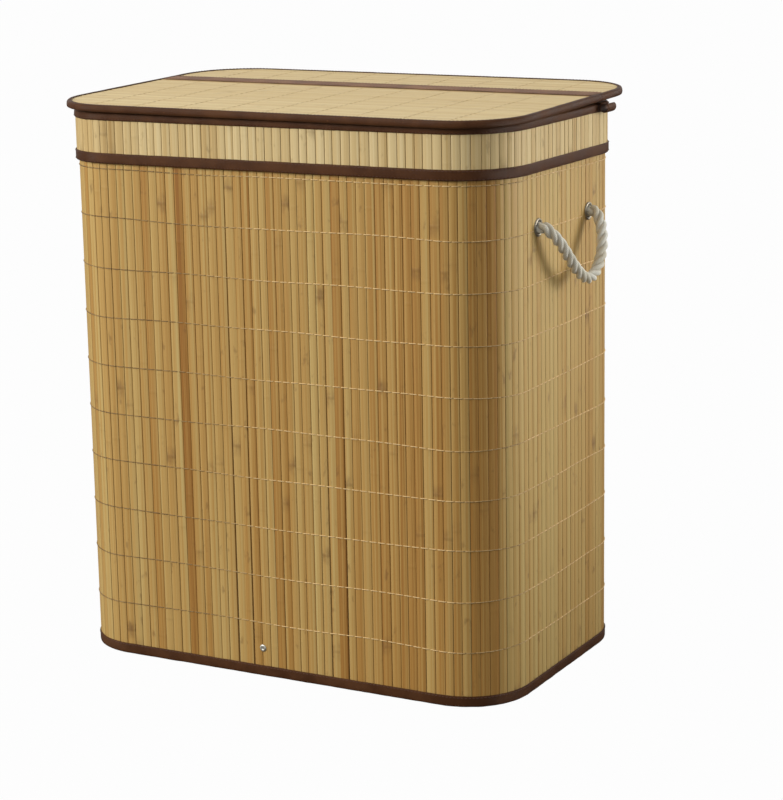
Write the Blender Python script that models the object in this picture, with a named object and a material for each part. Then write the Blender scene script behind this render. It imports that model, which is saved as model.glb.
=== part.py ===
"""Bamboo laundry hamper with a folding lid and two rope handles.

The hamper is a rounded rectangular wall of upright bamboo slats on a fibreboard base.
A collar of paler slats goes round the top, and dark tape binds every edge. The lid lies
on the collar in two panels: the narrow rear one is tied down, and the wide front one
lifts on a strip of tape. Metres, +Z up, origin on the floor in the middle of the base,
X along the long front, front facing -Y.
"""
import math

import bmesh
import bpy
from mathutils import Matrix, Vector

# Wall
WALL_WIDTH = 0.5170          # across the long front, slat face to slat face
WALL_DEPTH = 0.3165
RIM_TOP = 0.5900             # top of the hamper under the lid
CORNER_RADIUS = 0.0660
SLAT_THICKNESS = 0.0016
BACKING_THICKNESS = 0.0006   # cloth that the slats are glued to
CLEARANCE = 0.0003           # between pieces that touch
CORNER_STEPS = 9             # flats in each rounded corner
SMALLEST_ARC = 0.0020        # radius left where an inset would use a corner up

# Edge tape
TAPE_THICKNESS = 0.0012
BOTTOM_TAPE_HEIGHT = 0.0120
INNER_LEG_HEIGHT = 0.0120    # how far the tape comes down on the inside

# Base
COVER_THICKNESS = 0.0012     # cloth under the base
BOARD_THICKNESS = 0.0030

# Collar
COLLAR_GAP = 0.0009          # between the wall and the collar's slats
COLLAR_HEIGHT = 0.0535       # tapes and all
LOWER_TAPE_HEIGHT = 0.0115
UPPER_TAPE_HEIGHT = 0.0085
WIRE_RADIUS = 0.0014         # steel hoop inside the upper tape
WIRE_ROOM = 0.0010           # over and under the hoop

# Handles
HANDLE_DROP = 0.1090         # from the rim to the grommets' centres
ROPE_DIAMETER = 0.0120
ROPE_FIT = 0.0005            # between the rope and the grommet's bore
GROMMET_WALL = 0.0006
GROMMET_FLANGE = 0.0024      # how far the flange reaches past the barrel
FLANGE_THICKNESS = 0.0014
WASHER_THICKNESS = 0.0010
WASHER_WIDTH = 0.0032
KNOT_RADIUS = 0.0125
KNOT_LENGTH = 0.0230
KNOT_TAIL = 0.0060
# A handle's route from its front grommet to its rear one:
# (out from the swing axis, along the wall from its middle, below the axis)
HANDLE_ROUTE = [
    (0.0000, -0.0620, 0.0000),
    (0.0042, -0.0590, 0.0048),
    (0.0078, -0.0535, 0.0110),
    (0.0106, -0.0465, 0.0190),
    (0.0126, -0.0385, 0.0285),
    (0.0142, -0.0300, 0.0380),
    (0.0156, -0.0195, 0.0478),
    (0.0166, -0.0075, 0.0560),
    (0.0171, 0.0065, 0.0600),
    (0.0172, 0.0205, 0.0572),
    (0.0168, 0.0320, 0.0495),
    (0.0159, 0.0408, 0.0396),
    (0.0141, 0.0476, 0.0290),
    (0.0112, 0.0530, 0.0190),
    (0.0077, 0.0572, 0.0110),
    (0.0040, 0.0600, 0.0046),
    (0.0000, 0.0620, 0.0000),
]
ROPE_POINTS_PER_SPAN = 4

# Lid
LID_SIDE_OVERHANG = 0.0070   # past the collar
LID_FRONT_OVERHANG = 0.0058
LID_REAR_OVERHANG = 0.0238
LID_EXTRA_RADIUS = 0.0040    # corner radius, over the collar's
REAR_PANEL_DEPTH = 0.1130
LID_PITCH = 0.0260           # radians, rear edge up
LID_ROLL = 0.0065            # radians, left end up
LID_MAT_THICKNESS = 0.0012
LID_BOARD_THICKNESS = 0.0018
LID_LINING_THICKNESS = 0.0005
LID_ROLL_THICKNESS = 0.0026  # rolled edge of the lid's tape
LID_FLANGE_WIDTH = 0.0058    # tape on top of the lid's edge
LID_FLANGE_THICKNESS = 0.0006
LID_LIP = 0.0026             # how far the rolled edge hangs under the lid
HINGE_GAP = 0.0006           # between the two panels
HINGE_TAPE_WIDTH = 0.0300

# Tape loops that tie the rear panel to the rim
LOOP_RADIUS = 0.0050         # to the middle of the tape
LOOP_THICKNESS = 0.0011
LOOP_LENGTH = 0.0220
LOOP_SETBACK = 0.0170        # loop's middle, behind the hinge line
LOOP_TAIL = 0.0080           # flat end that lies on the rim
LOOP_START = math.radians(118)
LOOP_TURN = math.radians(300)
LOOP_STEPS = 14

# Liner bag
LINER_WALL = 0.0012
LINER_SLACK = 0.0006         # between the bag and what it hangs beside
LINER_DROP = 0.0155          # from the rim to the bag's mouth
LINER_CLEAR = 0.0270         # how far over and under the knots the bag stays clear
LINER_EASE = 1.8             # it starts to move in at this many times that, over the knots
LINER_TAPER = (1, 3, 6, 10)  # slacks that its long sides stand in by, level by level
LINER_FOLD_RADIUS = 0.0300   # tightest corner of the bag
LINER_BODY = [               # height, inset on the short sides, inset on the long sides
    (0.3500, 0.0340, 0.0160),
    (0.1500, 0.0300, 0.0170),
    (0.0350, 0.0320, 0.0200),
]
LINER_FOOT = (0.0400, 0.0280)
PAD_LENGTH = 0.0600          # hook and loop pads that hold the bag
PAD_HEIGHT = 0.0130
PAD_DROP = 0.0050            # under the tape's inner leg
PAD_THICKNESS = 0.0013

# Rivet low on the front
RIVET_X = -0.0180
RIVET_Z = 0.0306
RIVET_RADIUS = 0.0040
RIVET_HEAD = 0.0011
RIVET_SHANK = 0.0013
RIVET_CROWN = 0.7            # flat part of the head, as a share of its radius

ROUND_SIDES = 24
KNOT_SIDES = 16
KNOT_STEPS = 8
WIRE_SIDES = 8
SHARP_ANGLE = math.radians(35)
CUTTER_LENGTH = 0.02

# Sizes that follow from the ones above
WALL_INSIDE = SLAT_THICKNESS + CLEARANCE + BACKING_THICKNESS
TAPE_INSIDE = WALL_INSIDE + CLEARANCE + TAPE_THICKNESS
COLLAR_FACE = COLLAR_GAP + SLAT_THICKNESS
COLLAR_OUTSIDE = COLLAR_FACE + CLEARANCE + TAPE_THICKNESS
WIRE_SPACE = 2 * (WIRE_RADIUS + WIRE_ROOM)
WALL_HEIGHT = RIM_TOP - TAPE_THICKNESS - WIRE_SPACE
COLLAR_BOTTOM = RIM_TOP - COLLAR_HEIGHT
HANDLE_HEIGHT = RIM_TOP - HANDLE_DROP
HANDLE_SPAN = HANDLE_ROUTE[-1][1] - HANDLE_ROUTE[0][1]
BORE_RADIUS = ROPE_DIAMETER / 2 + ROPE_FIT
BARREL_RADIUS = BORE_RADIUS + GROMMET_WALL
WASHER_RADIUS = BARREL_RADIUS + CLEARANCE + WASHER_WIDTH
# The corners leave the ends flat where the grommets and washers sit
WALL_RADIUS = min(CORNER_RADIUS, WALL_DEPTH / 2 - HANDLE_SPAN / 2 - WASHER_RADIUS)
FLANGE_FACE = CLEARANCE + FLANGE_THICKNESS
SWING_OUT = FLANGE_FACE + ROPE_DIAMETER / 2 + ROPE_FIT
KNOT_START = -WALL_INSIDE - WASHER_THICKNESS - 3 * CLEARANCE
KNOT_REACH = KNOT_LENGTH + KNOT_TAIL - KNOT_START
LID_WIDTH = WALL_WIDTH + 2 * (COLLAR_OUTSIDE + LID_SIDE_OVERHANG)
LID_DEPTH = WALL_DEPTH + 2 * COLLAR_OUTSIDE + LID_FRONT_OVERHANG + LID_REAR_OVERHANG
LID_SHIFT = (LID_REAR_OVERHANG - LID_FRONT_OVERHANG) / 2
LID_RADIUS = WALL_RADIUS + COLLAR_OUTSIDE + LID_EXTRA_RADIUS
HINGE_Y = LID_DEPTH / 2 + LID_SHIFT - REAR_PANEL_DEPTH
LID_UNDERSIDE_TO_MAT = LID_LINING_THICKNESS + CLEARANCE
LID_UNDERSIDE_TO_MAT += LID_BOARD_THICKNESS + CLEARANCE
LID_MAT_TOP = LID_UNDERSIDE_TO_MAT + LID_MAT_THICKNESS
HINGE_Z = LID_MAT_TOP + CLEARANCE + LID_FLANGE_THICKNESS
LOOP_Y = HINGE_Y + LOOP_SETBACK
BOARD_TOP = COVER_THICKNESS + CLEARANCE + BOARD_THICKNESS
PAD_TOP = RIM_TOP - INNER_LEG_HEIGHT - PAD_DROP
LINER_MOUTH_INSET = WALL_INSIDE + 3 * CLEARANCE + 2 * PAD_THICKNESS + LINER_SLACK

COLOURS = {
    "bamboo": ((0.404, 0.242, 0.090), 0.45, 0.0),
    "pale_bamboo": ((0.503, 0.371, 0.181), 0.45, 0.0),
    "tape": ((0.107, 0.038, 0.021), 0.50, 0.0),
    "backing": ((0.680, 0.600, 0.460), 0.90, 0.0),
    "board": ((0.350, 0.230, 0.130), 0.80, 0.0),
    "cotton": ((0.760, 0.720, 0.640), 0.90, 0.0),
    "rope": ((0.720, 0.640, 0.490), 0.85, 0.0),
    "nickel": ((0.620, 0.600, 0.570), 0.28, 1.0),
    "steel": ((0.450, 0.450, 0.450), 0.40, 1.0),
    "hook_pad": ((0.640, 0.590, 0.500), 0.95, 0.0),
}


def clear_scene():
    for obj in list(bpy.data.objects):
        bpy.data.objects.remove(obj, do_unlink=True)


def make_material(name):
    colour, roughness, metallic = COLOURS[name]
    material = bpy.data.materials.new(name)
    material.use_nodes = True
    shader = material.node_tree.nodes["Principled BSDF"]
    shader.inputs["Base Color"].default_value = (*colour, 1.0)
    shader.inputs["Roughness"].default_value = roughness
    shader.inputs["Metallic"].default_value = metallic
    return material


# Outlines

def rounded_outline(width, depth, radius, inset=0.0, shift=0.0):
    """Corner points of a rounded rectangle, anticlockwise from the right side's front end."""
    half_width = width / 2 - inset
    half_depth = depth / 2 - inset
    arc = max(radius - inset, SMALLEST_ARC)
    centres = [
        (half_width - arc, half_depth - arc, 0.0),
        (-half_width + arc, half_depth - arc, math.pi / 2),
        (-half_width + arc, -half_depth + arc, math.pi),
        (half_width - arc, -half_depth + arc, 1.5 * math.pi),
    ]
    points = []
    for x, y, start in centres:
        for step in range(CORNER_STEPS + 1):
            angle = start + math.pi / 2 * step / CORNER_STEPS
            points.append((x + arc * math.cos(angle), y + arc * math.sin(angle) + shift))
    return points


def wall_outline(inset):
    """The wall's outline, a distance inside its slat face."""
    return rounded_outline(WALL_WIDTH, WALL_DEPTH, WALL_RADIUS, inset)


def lid_outline(inset, front):
    """One panel's part of the lid's outline, in the lid's own frame, from cut to cut."""
    points = rounded_outline(LID_WIDTH, LID_DEPTH, LID_RADIUS, inset, LID_SHIFT)
    half = LID_WIDTH / 2 - inset
    rear_corners = points[:2 * (CORNER_STEPS + 1)]
    front_corners = points[2 * (CORNER_STEPS + 1):]
    if front:
        cut = HINGE_Y - HINGE_GAP / 2
        return [(-half, cut)] + front_corners + [(half, cut)]
    cut = HINGE_Y + HINGE_GAP / 2
    return [(half, cut)] + rear_corners + [(-half, cut)]


# Solids

def add_object(name, shape, material):
    """One object from bmesh geometry."""
    mesh = bpy.data.meshes.new(name)
    shape.to_mesh(mesh)
    shape.free()
    mesh.materials.append(material)
    mesh.shade_smooth()
    mesh.set_sharp_from_angle(angle=SHARP_ANGLE)
    obj = bpy.data.objects.new(name, mesh)
    bpy.context.collection.objects.link(obj)
    return obj


def face_outwards(shape):
    bmesh.ops.recalc_face_normals(shape, faces=shape.faces[:])
    return shape


def prism(outline, bottom, top):
    """A flat plate with this outline."""
    shape = bmesh.new()
    lower = [shape.verts.new((x, y, bottom)) for x, y in outline]
    upper = [shape.verts.new((x, y, top)) for x, y in outline]
    count = len(outline)
    shape.faces.new(lower)
    shape.faces.new(upper)
    for i in range(count):
        j = (i + 1) % count
        shape.faces.new((lower[i], lower[j], upper[j], upper[i]))
    return face_outwards(shape)


def swept(profile, outline_at, closed=True):
    """A band whose cross-section is profile, pairs of (inset, height), taken round an outline."""
    shape = bmesh.new()
    rows = []
    for inset, height in profile:
        rows.append([shape.verts.new((x, y, height)) for x, y in outline_at(inset)])
    sides = len(profile)
    count = len(rows[0])
    last = count if closed else count - 1
    for a in range(sides):
        b = (a + 1) % sides
        for i in range(last):
            j = (i + 1) % count
            shape.faces.new((rows[a][i], rows[a][j], rows[b][j], rows[b][i]))
    if not closed:
        shape.faces.new([row[0] for row in rows])
        shape.faces.new([row[-1] for row in rows])
    return face_outwards(shape)


def rectangle(inset_a, inset_b, bottom, top):
    return [(inset_a, bottom), (inset_b, bottom), (inset_b, top), (inset_a, top)]


def turned(profile, sides, hollow=False):
    """A piece turned about X: profile is (distance along X, radius), closed where hollow."""
    shape = bmesh.new()
    rings = []
    for along, radius in profile:
        if radius == 0.0:
            rings.append([shape.verts.new((along, 0.0, 0.0))])
            continue
        ring = []
        for side in range(sides):
            angle = 2 * math.pi * side / sides
            ring.append(shape.verts.new((along, radius * math.cos(angle), radius * math.sin(angle))))
        rings.append(ring)
    pairs = list(zip(rings, rings[1:]))
    if hollow:
        pairs.append((rings[-1], rings[0]))
    for first, second in pairs:
        for side in range(sides):
            after = (side + 1) % sides
            if len(first) == 1:
                shape.faces.new((first[0], second[side], second[after]))
            elif len(second) == 1:
                shape.faces.new((first[side], first[after], second[0]))
            else:
                shape.faces.new((first[side], first[after], second[after], second[side]))
    return face_outwards(shape)


def smooth_points(route, per_span):
    """Points on a smooth curve through the route's own points."""
    points = [Vector(p) for p in route]
    padded = [2 * points[0] - points[1]] + points + [2 * points[-1] - points[-2]]
    result = []
    for before, start, end, after in zip(padded, padded[1:], padded[2:], padded[3:]):
        for step in range(per_span):
            t = step / per_span
            a = 2 * start
            b = end - before
            c = 2 * before - 5 * start + 4 * end - after
            d = 3 * start - before - 3 * end + after
            result.append((a + b * t + c * t * t + d * t * t * t) / 2)
    result.append(points[-1])
    return result


def rope_tube(name, points, material):
    curve = bpy.data.curves.new(name, "CURVE")
    curve.dimensions = "3D"
    curve.bevel_depth = ROPE_DIAMETER / 2
    curve.bevel_resolution = 3
    curve.use_fill_caps = True
    curve.resolution_u = 1
    spline = curve.splines.new("POLY")
    spline.points.add(len(points) - 1)
    for spline_point, point in zip(spline.points, points):
        spline_point.co = (*point, 1.0)
    curve.materials.append(material)
    obj = bpy.data.objects.new(name, curve)
    bpy.context.collection.objects.link(obj)
    return obj


# Wall, base and collar

def build_wall(materials):
    slats = swept(rectangle(0.0, SLAT_THICKNESS, TAPE_THICKNESS + CLEARANCE, WALL_HEIGHT), wall_outline)
    body = add_object("body_mat", slats, materials["bamboo"])
    inner = SLAT_THICKNESS + CLEARANCE
    cloth = swept(rectangle(inner, WALL_INSIDE, TAPE_THICKNESS + CLEARANCE, WALL_HEIGHT), wall_outline)
    backing = add_object("backing_cloth", cloth, materials["backing"])
    return body, backing


def build_base(materials):
    outer = -CLEARANCE - TAPE_THICKNESS
    tape_profile = [
        (outer, 0.0),
        (outer, BOTTOM_TAPE_HEIGHT),
        (-CLEARANCE, BOTTOM_TAPE_HEIGHT),
        (-CLEARANCE, TAPE_THICKNESS),
        (WALL_INSIDE + CLEARANCE, TAPE_THICKNESS),
        (WALL_INSIDE + CLEARANCE, INNER_LEG_HEIGHT),
        (TAPE_INSIDE, INNER_LEG_HEIGHT),
        (TAPE_INSIDE, 0.0),
    ]
    add_object("bottom_binding", swept(tape_profile, wall_outline), materials["tape"])
    inside = wall_outline(TAPE_INSIDE + CLEARANCE)
    add_object("base_cover", prism(inside, 0.0, COVER_THICKNESS), materials["backing"])
    board = prism(inside, BOARD_TOP - BOARD_THICKNESS, BOARD_TOP)
    add_object("base_board", board, materials["board"])


def build_collar(materials):
    slats_bottom = COLLAR_BOTTOM + TAPE_THICKNESS + CLEARANCE
    web_bottom = RIM_TOP - TAPE_THICKNESS
    slats = rectangle(-COLLAR_GAP, -COLLAR_FACE, slats_bottom, web_bottom - CLEARANCE)
    add_object("collar_mat", swept(slats, wall_outline), materials["pale_bamboo"])

    tape_face = -COLLAR_FACE - CLEARANCE
    lower = [
        (-COLLAR_GAP, COLLAR_BOTTOM),
        (-COLLAR_OUTSIDE, COLLAR_BOTTOM),
        (-COLLAR_OUTSIDE, COLLAR_BOTTOM + LOWER_TAPE_HEIGHT),
        (tape_face, COLLAR_BOTTOM + LOWER_TAPE_HEIGHT),
        (tape_face, COLLAR_BOTTOM + TAPE_THICKNESS),
        (-COLLAR_GAP, COLLAR_BOTTOM + TAPE_THICKNESS),
    ]
    add_object("collar_lower_binding", swept(lower, wall_outline), materials["tape"])
    upper = [
        (-COLLAR_OUTSIDE, RIM_TOP - UPPER_TAPE_HEIGHT),
        (-COLLAR_OUTSIDE, RIM_TOP),
        (TAPE_INSIDE, RIM_TOP),
        (TAPE_INSIDE, RIM_TOP - INNER_LEG_HEIGHT),
        (WALL_INSIDE + CLEARANCE, RIM_TOP - INNER_LEG_HEIGHT),
        (WALL_INSIDE + CLEARANCE, web_bottom),
        (tape_face, web_bottom),
        (tape_face, RIM_TOP - UPPER_TAPE_HEIGHT),
    ]
    add_object("collar_upper_binding", swept(upper, wall_outline), materials["tape"])

    wire_inset = WALL_INSIDE / 2
    wire_height = (WALL_HEIGHT + web_bottom) / 2
    wire = []
    for side in range(WIRE_SIDES):
        angle = 2 * math.pi * (side + 0.5) / WIRE_SIDES
        wire.append((wire_inset + WIRE_RADIUS * math.cos(angle),
                     wire_height + WIRE_RADIUS * math.sin(angle)))
    add_object("rim_wire", swept(wire, wall_outline), materials["steel"])


# Handles

def cut_hole(name, pieces, radius, location, rotation):
    """A round hole through these pieces, along the cutter's own Z axis."""
    shape = bmesh.new()
    bmesh.ops.create_cone(shape, cap_ends=True, segments=ROUND_SIDES, depth=CUTTER_LENGTH,
                          radius1=radius, radius2=radius)
    mesh = bpy.data.meshes.new(name)
    shape.to_mesh(mesh)
    shape.free()
    cutter = bpy.data.objects.new(name, mesh)
    cutter.location = location
    cutter.rotation_euler = rotation
    cutter.hide_render = True
    cutter.display_type = "WIRE"
    bpy.context.collection.objects.link(cutter)
    for piece in pieces:
        cut = piece.modifiers.new(name, "BOOLEAN")
        cut.operation = "DIFFERENCE"
        cut.solver = "EXACT"
        cut.object = cutter


def cut_handle_holes(pieces):
    """Four holes through the wall and its backing, for the grommets' barrels."""
    for end in (1, -1):
        for along in (1, -1):
            place = (end * WALL_WIDTH / 2, along * HANDLE_SPAN / 2, HANDLE_HEIGHT)
            turn = (0.0, math.pi / 2, 0.0)
            cut_hole("handle_hole", pieces, BARREL_RADIUS + CLEARANCE, place, turn)


def build_handle_end(side_name, end, along_name, along, materials):
    """A grommet, its washer and the knotted rope end, turned on an axis along X."""
    place = Vector((end * WALL_WIDTH / 2, along * HANDLE_SPAN / 2, HANDLE_HEIGHT))
    turn = Matrix.Identity(4) if end > 0 else Matrix.Rotation(math.pi, 4, "Z")
    spot = Matrix.Translation(place) @ turn
    washer_outer = -WALL_INSIDE - CLEARANCE
    washer_inner = washer_outer - WASHER_THICKNESS
    barrel_end = washer_inner - CLEARANCE
    flange_radius = BARREL_RADIUS + GROMMET_FLANGE
    grommet = [
        (barrel_end, BORE_RADIUS),
        (FLANGE_FACE - FLANGE_THICKNESS / 3, BORE_RADIUS),
        (FLANGE_FACE, BORE_RADIUS + FLANGE_THICKNESS / 2),
        (FLANGE_FACE, flange_radius - FLANGE_THICKNESS / 2),
        (FLANGE_FACE - FLANGE_THICKNESS / 2, flange_radius),
        (CLEARANCE, flange_radius),
        (CLEARANCE, BARREL_RADIUS),
        (barrel_end, BARREL_RADIUS),
    ]
    ring = turned(grommet, ROUND_SIDES, hollow=True)
    eyelet = add_object(f"grommet_{side_name}_{along_name}", ring, materials["nickel"])
    eyelet.matrix_world = spot

    washer_bore = BARREL_RADIUS + CLEARANCE
    washer = [
        (washer_inner, washer_bore),
        (washer_outer, washer_bore),
        (washer_outer, WASHER_RADIUS),
        (washer_inner, WASHER_RADIUS),
    ]
    ring = turned(washer, ROUND_SIDES, hollow=True)
    plate = add_object(f"washer_{side_name}_{along_name}", ring, materials["nickel"])
    plate.matrix_world = spot

    rope_radius = ROPE_DIAMETER / 2
    knot_end = KNOT_START - KNOT_LENGTH
    mouth = SWING_OUT - rope_radius - CLEARANCE
    knot = [(mouth, 0.0), (mouth, rope_radius), (KNOT_START, rope_radius)]
    for step in range(1, KNOT_STEPS):
        angle = math.pi * step / KNOT_STEPS
        along_knot = (KNOT_START + knot_end) / 2 + KNOT_LENGTH / 2 * math.cos(angle)
        swell = (KNOT_RADIUS - rope_radius) * math.sin(angle)
        knot.append((along_knot, rope_radius + swell))
    knot.append((knot_end, rope_radius))
    knot.append((knot_end - KNOT_TAIL, rope_radius))
    knot.append((knot_end - KNOT_TAIL, 0.0))
    lump = turned(knot, KNOT_SIDES)
    rope_end = add_object(f"rope_knot_{side_name}_{along_name}", lump, materials["rope"])
    rope_end.matrix_world = spot


def build_handle(side_name, end, materials):
    for along_name, along in (("front", -1), ("rear", 1)):
        build_handle_end(side_name, end, along_name, along, materials)
    route = [(end * out, along, -drop) for out, along, drop in HANDLE_ROUTE]
    rope = rope_tube(f"handle_rope_{side_name}", smooth_points(route, ROPE_POINTS_PER_SPAN),
                     materials["rope"])
    rope.location = (end * (WALL_WIDTH / 2 + SWING_OUT), 0.0, HANDLE_HEIGHT)


# Lid

def lid_frame():
    """How the closed lid lies: its underside touches the rim at the front right."""
    slope = Matrix.Rotation(LID_ROLL, 4, "Y") @ Matrix.Rotation(LID_PITCH, 4, "X")
    front = -WALL_DEPTH / 2 - COLLAR_OUTSIDE
    right = WALL_WIDTH / 2 + COLLAR_OUTSIDE
    contact = slope @ Vector((right, front, 0.0))
    lift = RIM_TOP + CLEARANCE - contact.z
    return Matrix.Translation((0.0, 0.0, lift)) @ slope


def build_panel(name, front, materials):
    """Lining, board, slats and edge tape of one lid panel, in the lid's frame."""
    edge = LID_ROLL_THICKNESS + CLEARANCE
    inside = lid_outline(edge, front)
    board_bottom = LID_LINING_THICKNESS + CLEARANCE
    pieces = [
        add_object(f"{name}_lining", prism(inside, 0.0, LID_LINING_THICKNESS), materials["backing"]),
        add_object(f"{name}_board", prism(inside, board_bottom, board_bottom + LID_BOARD_THICKNESS),
                   materials["board"]),
        add_object(f"{name}_mat", prism(inside, LID_UNDERSIDE_TO_MAT, LID_MAT_TOP),
                   materials["pale_bamboo"]),
    ]
    flange_bottom = LID_MAT_TOP + CLEARANCE
    roll_round = LID_ROLL_THICKNESS / 3
    tape = [
        (LID_ROLL_THICKNESS, -LID_LIP),
        (roll_round, -LID_LIP),
        (0.0, -LID_LIP + roll_round),
        (0.0, HINGE_Z - roll_round),
        (roll_round, HINGE_Z),
        (LID_FLANGE_WIDTH, HINGE_Z),
        (LID_FLANGE_WIDTH, flange_bottom),
        (LID_ROLL_THICKNESS, flange_bottom),
    ]
    band = swept(tape, lambda inset: lid_outline(inset, front), closed=False)
    pieces.append(add_object(f"{name}_binding", band, materials["tape"]))

    half = LID_WIDTH / 2 - LID_FLANGE_WIDTH - CLEARANCE
    sign = -1 if front else 1
    start = HINGE_Y + sign * HINGE_GAP / 2
    finish = HINGE_Y + sign * HINGE_TAPE_WIDTH / 2
    strip = [(-half, start), (half, start), (half, finish), (-half, finish)]
    suffix = "front" if front else "rear"
    pieces.append(add_object(f"hinge_tape_{suffix}", prism(strip, flange_bottom, HINGE_Z),
                             materials["tape"]))
    return pieces


def hang_on(parent, pieces, offset):
    for piece in pieces:
        piece.parent = parent
        piece.location = -offset


def build_lid(materials):
    frame = lid_frame()
    fixed = bpy.data.objects.new("rear_panel_frame", None)
    fixed.matrix_world = frame
    bpy.context.collection.objects.link(fixed)
    hang_on(fixed, build_panel("lid_rear", False, materials), Vector((0.0, 0.0, 0.0)))

    hinge_point = Vector((0.0, HINGE_Y, HINGE_Z))
    pivot = bpy.data.objects.new("flap_pivot", None)
    pivot.matrix_world = frame @ Matrix.Translation(hinge_point)
    bpy.context.collection.objects.link(pivot)
    hang_on(pivot, build_panel("lid_front", True, materials), hinge_point)


def loop_section():
    """The tape's cross-section in X and Z: flat on the rim, then curled round outside it."""
    half = LOOP_THICKNESS / 2
    level = half + CLEARANCE
    centre = COLLAR_OUTSIDE + LOOP_RADIUS + half + CLEARANCE
    line = [(-LOOP_TAIL, level), (COLLAR_OUTSIDE + CLEARANCE, level)]
    drop = LOOP_RADIUS * math.sin(LOOP_START)
    for step in range(LOOP_STEPS + 1):
        angle = LOOP_START - LOOP_TURN * step / LOOP_STEPS
        height = level - drop + LOOP_RADIUS * math.sin(angle)
        line.append((centre + LOOP_RADIUS * math.cos(angle), height))
    left, right = [], []
    for i, (x, z) in enumerate(line):
        before = Vector(line[max(i - 1, 0)])
        after = Vector(line[min(i + 1, len(line) - 1)])
        along = (after - before).normalized()
        left.append((x - along.y * half, z + along.x * half))
        right.append((x + along.y * half, z - along.x * half))
    return left, right


def build_loops(materials):
    left, right = loop_section()
    for side_name, end in (("right", 1), ("left", -1)):
        shape = bmesh.new()
        rows = []
        for y in (LOOP_Y - LOOP_LENGTH / 2, LOOP_Y + LOOP_LENGTH / 2):
            for edge in (left, right):
                rows.append([shape.verts.new((end * (WALL_WIDTH / 2 + x), y, RIM_TOP + z))
                             for x, z in edge])
        order = [rows[0], rows[2], rows[3], rows[1]]
        for a, b in zip(order, order[1:] + order[:1]):
            for i in range(len(a) - 1):
                shape.faces.new((a[i], a[i + 1], b[i + 1], b[i]))
        shape.faces.new([row[0] for row in order])
        shape.faces.new([row[-1] for row in order])
        add_object(f"lid_loop_{side_name}", face_outwards(shape), materials["tape"])


# Liner

def liner_outline(inset_x, inset_y):
    arc = max(WALL_RADIUS - min(inset_x, inset_y), LINER_FOLD_RADIUS)
    return rounded_outline(WALL_WIDTH - 2 * inset_x, WALL_DEPTH - 2 * inset_y, arc)


def liner_levels():
    """The bag from its mouth down, as (height, inset on the short sides, on the long sides)."""
    mouth = LINER_MOUTH_INSET
    past_knots = KNOT_REACH + LINER_SLACK
    long_sides = [mouth + slacks * LINER_SLACK for slacks in LINER_TAPER]
    return [
        (RIM_TOP - LINER_DROP, mouth, mouth),
        (PAD_TOP - PAD_HEIGHT - LINER_SLACK, mouth + LINER_SLACK, long_sides[0]),
        (HANDLE_HEIGHT + LINER_EASE * LINER_CLEAR, (mouth + past_knots) / 2, long_sides[1]),
        (HANDLE_HEIGHT + LINER_CLEAR, past_knots, long_sides[2]),
        (HANDLE_HEIGHT - LINER_CLEAR, past_knots, long_sides[3]),
        *LINER_BODY,
        (BOARD_TOP + LINER_SLACK, *LINER_FOOT),
    ]


def build_liner(materials):
    shape = bmesh.new()
    outer, inner = [], []
    for height, inset_x, inset_y in liner_levels():
        edge = liner_outline(inset_x, inset_y)
        outer.append([shape.verts.new((x, y, height)) for x, y in edge])
        edge = liner_outline(inset_x + LINER_WALL, inset_y + LINER_WALL)
        inner.append([shape.verts.new((x, y, height)) for x, y in edge])
    for vert in inner[-1]:
        vert.co.z += LINER_WALL
    count = len(outer[0])
    for rows in (outer, inner, [outer[0], inner[0]]):
        for upper, lower in zip(rows, rows[1:]):
            for i in range(count):
                j = (i + 1) % count
                shape.faces.new((upper[i], upper[j], lower[j], lower[i]))
    shape.faces.new(outer[-1])
    shape.faces.new(inner[-1])
    add_object("liner_bag", face_outwards(shape), materials["cotton"])


def build_pads(materials):
    """Hook pads on the wall and the loop pads on the liner that press onto them."""
    layers = [("hook_pad", WALL_INSIDE + CLEARANCE)]
    layers.append(("loop_pad", WALL_INSIDE + 2 * CLEARANCE + PAD_THICKNESS))
    half = PAD_LENGTH / 2
    for kind, inset in layers:
        for side, along_x, sign in (("front", True, -1), ("rear", True, 1),
                                    ("left", False, -1), ("right", False, 1)):
            size = WALL_DEPTH if along_x else WALL_WIDTH
            far = sign * (size / 2 - inset)
            near = sign * (size / 2 - inset - PAD_THICKNESS)
            corners = [(-half, near), (half, near), (half, far), (-half, far)]
            if not along_x:
                corners = [(y, x) for x, y in corners]
            pad = prism(corners, PAD_TOP - PAD_HEIGHT, PAD_TOP)
            add_object(f"{kind}_{side}", pad, materials["hook_pad"])


def build_rivet(pieces, materials):
    """A small tubular rivet through the front wall near its foot."""
    place = (RIVET_X, -WALL_DEPTH / 2, RIVET_Z)
    cut_hole("rivet_hole", pieces, RIVET_SHANK + CLEARANCE, place, (math.pi / 2, 0.0, 0.0))
    inside = -WALL_INSIDE - CLEARANCE
    profile = [
        (inside - RIVET_HEAD, 0.0),
        (inside - RIVET_HEAD, RIVET_RADIUS),
        (inside, RIVET_RADIUS),
        (inside, RIVET_SHANK),
        (CLEARANCE, RIVET_SHANK),
        (CLEARANCE, RIVET_RADIUS),
        (CLEARANCE + RIVET_HEAD / 2, RIVET_RADIUS),
        (CLEARANCE + RIVET_HEAD, RIVET_RADIUS * RIVET_CROWN),
        (CLEARANCE + RIVET_HEAD, 0.0),
    ]
    rivet = add_object("rivet_front", turned(profile, KNOT_SIDES), materials["nickel"])
    rivet.location = place
    rivet.rotation_euler = (0.0, 0.0, -math.pi / 2)


def main():
    clear_scene()
    materials = {name: make_material(name) for name in COLOURS}
    body, backing = build_wall(materials)
    cut_handle_holes((body, backing))
    build_rivet((body, backing), materials)
    build_base(materials)
    build_collar(materials)
    build_handle("right", 1, materials)
    build_handle("left", -1, materials)
    build_lid(materials)
    build_loops(materials)
    build_liner(materials)
    build_pads(materials)


main()
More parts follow.
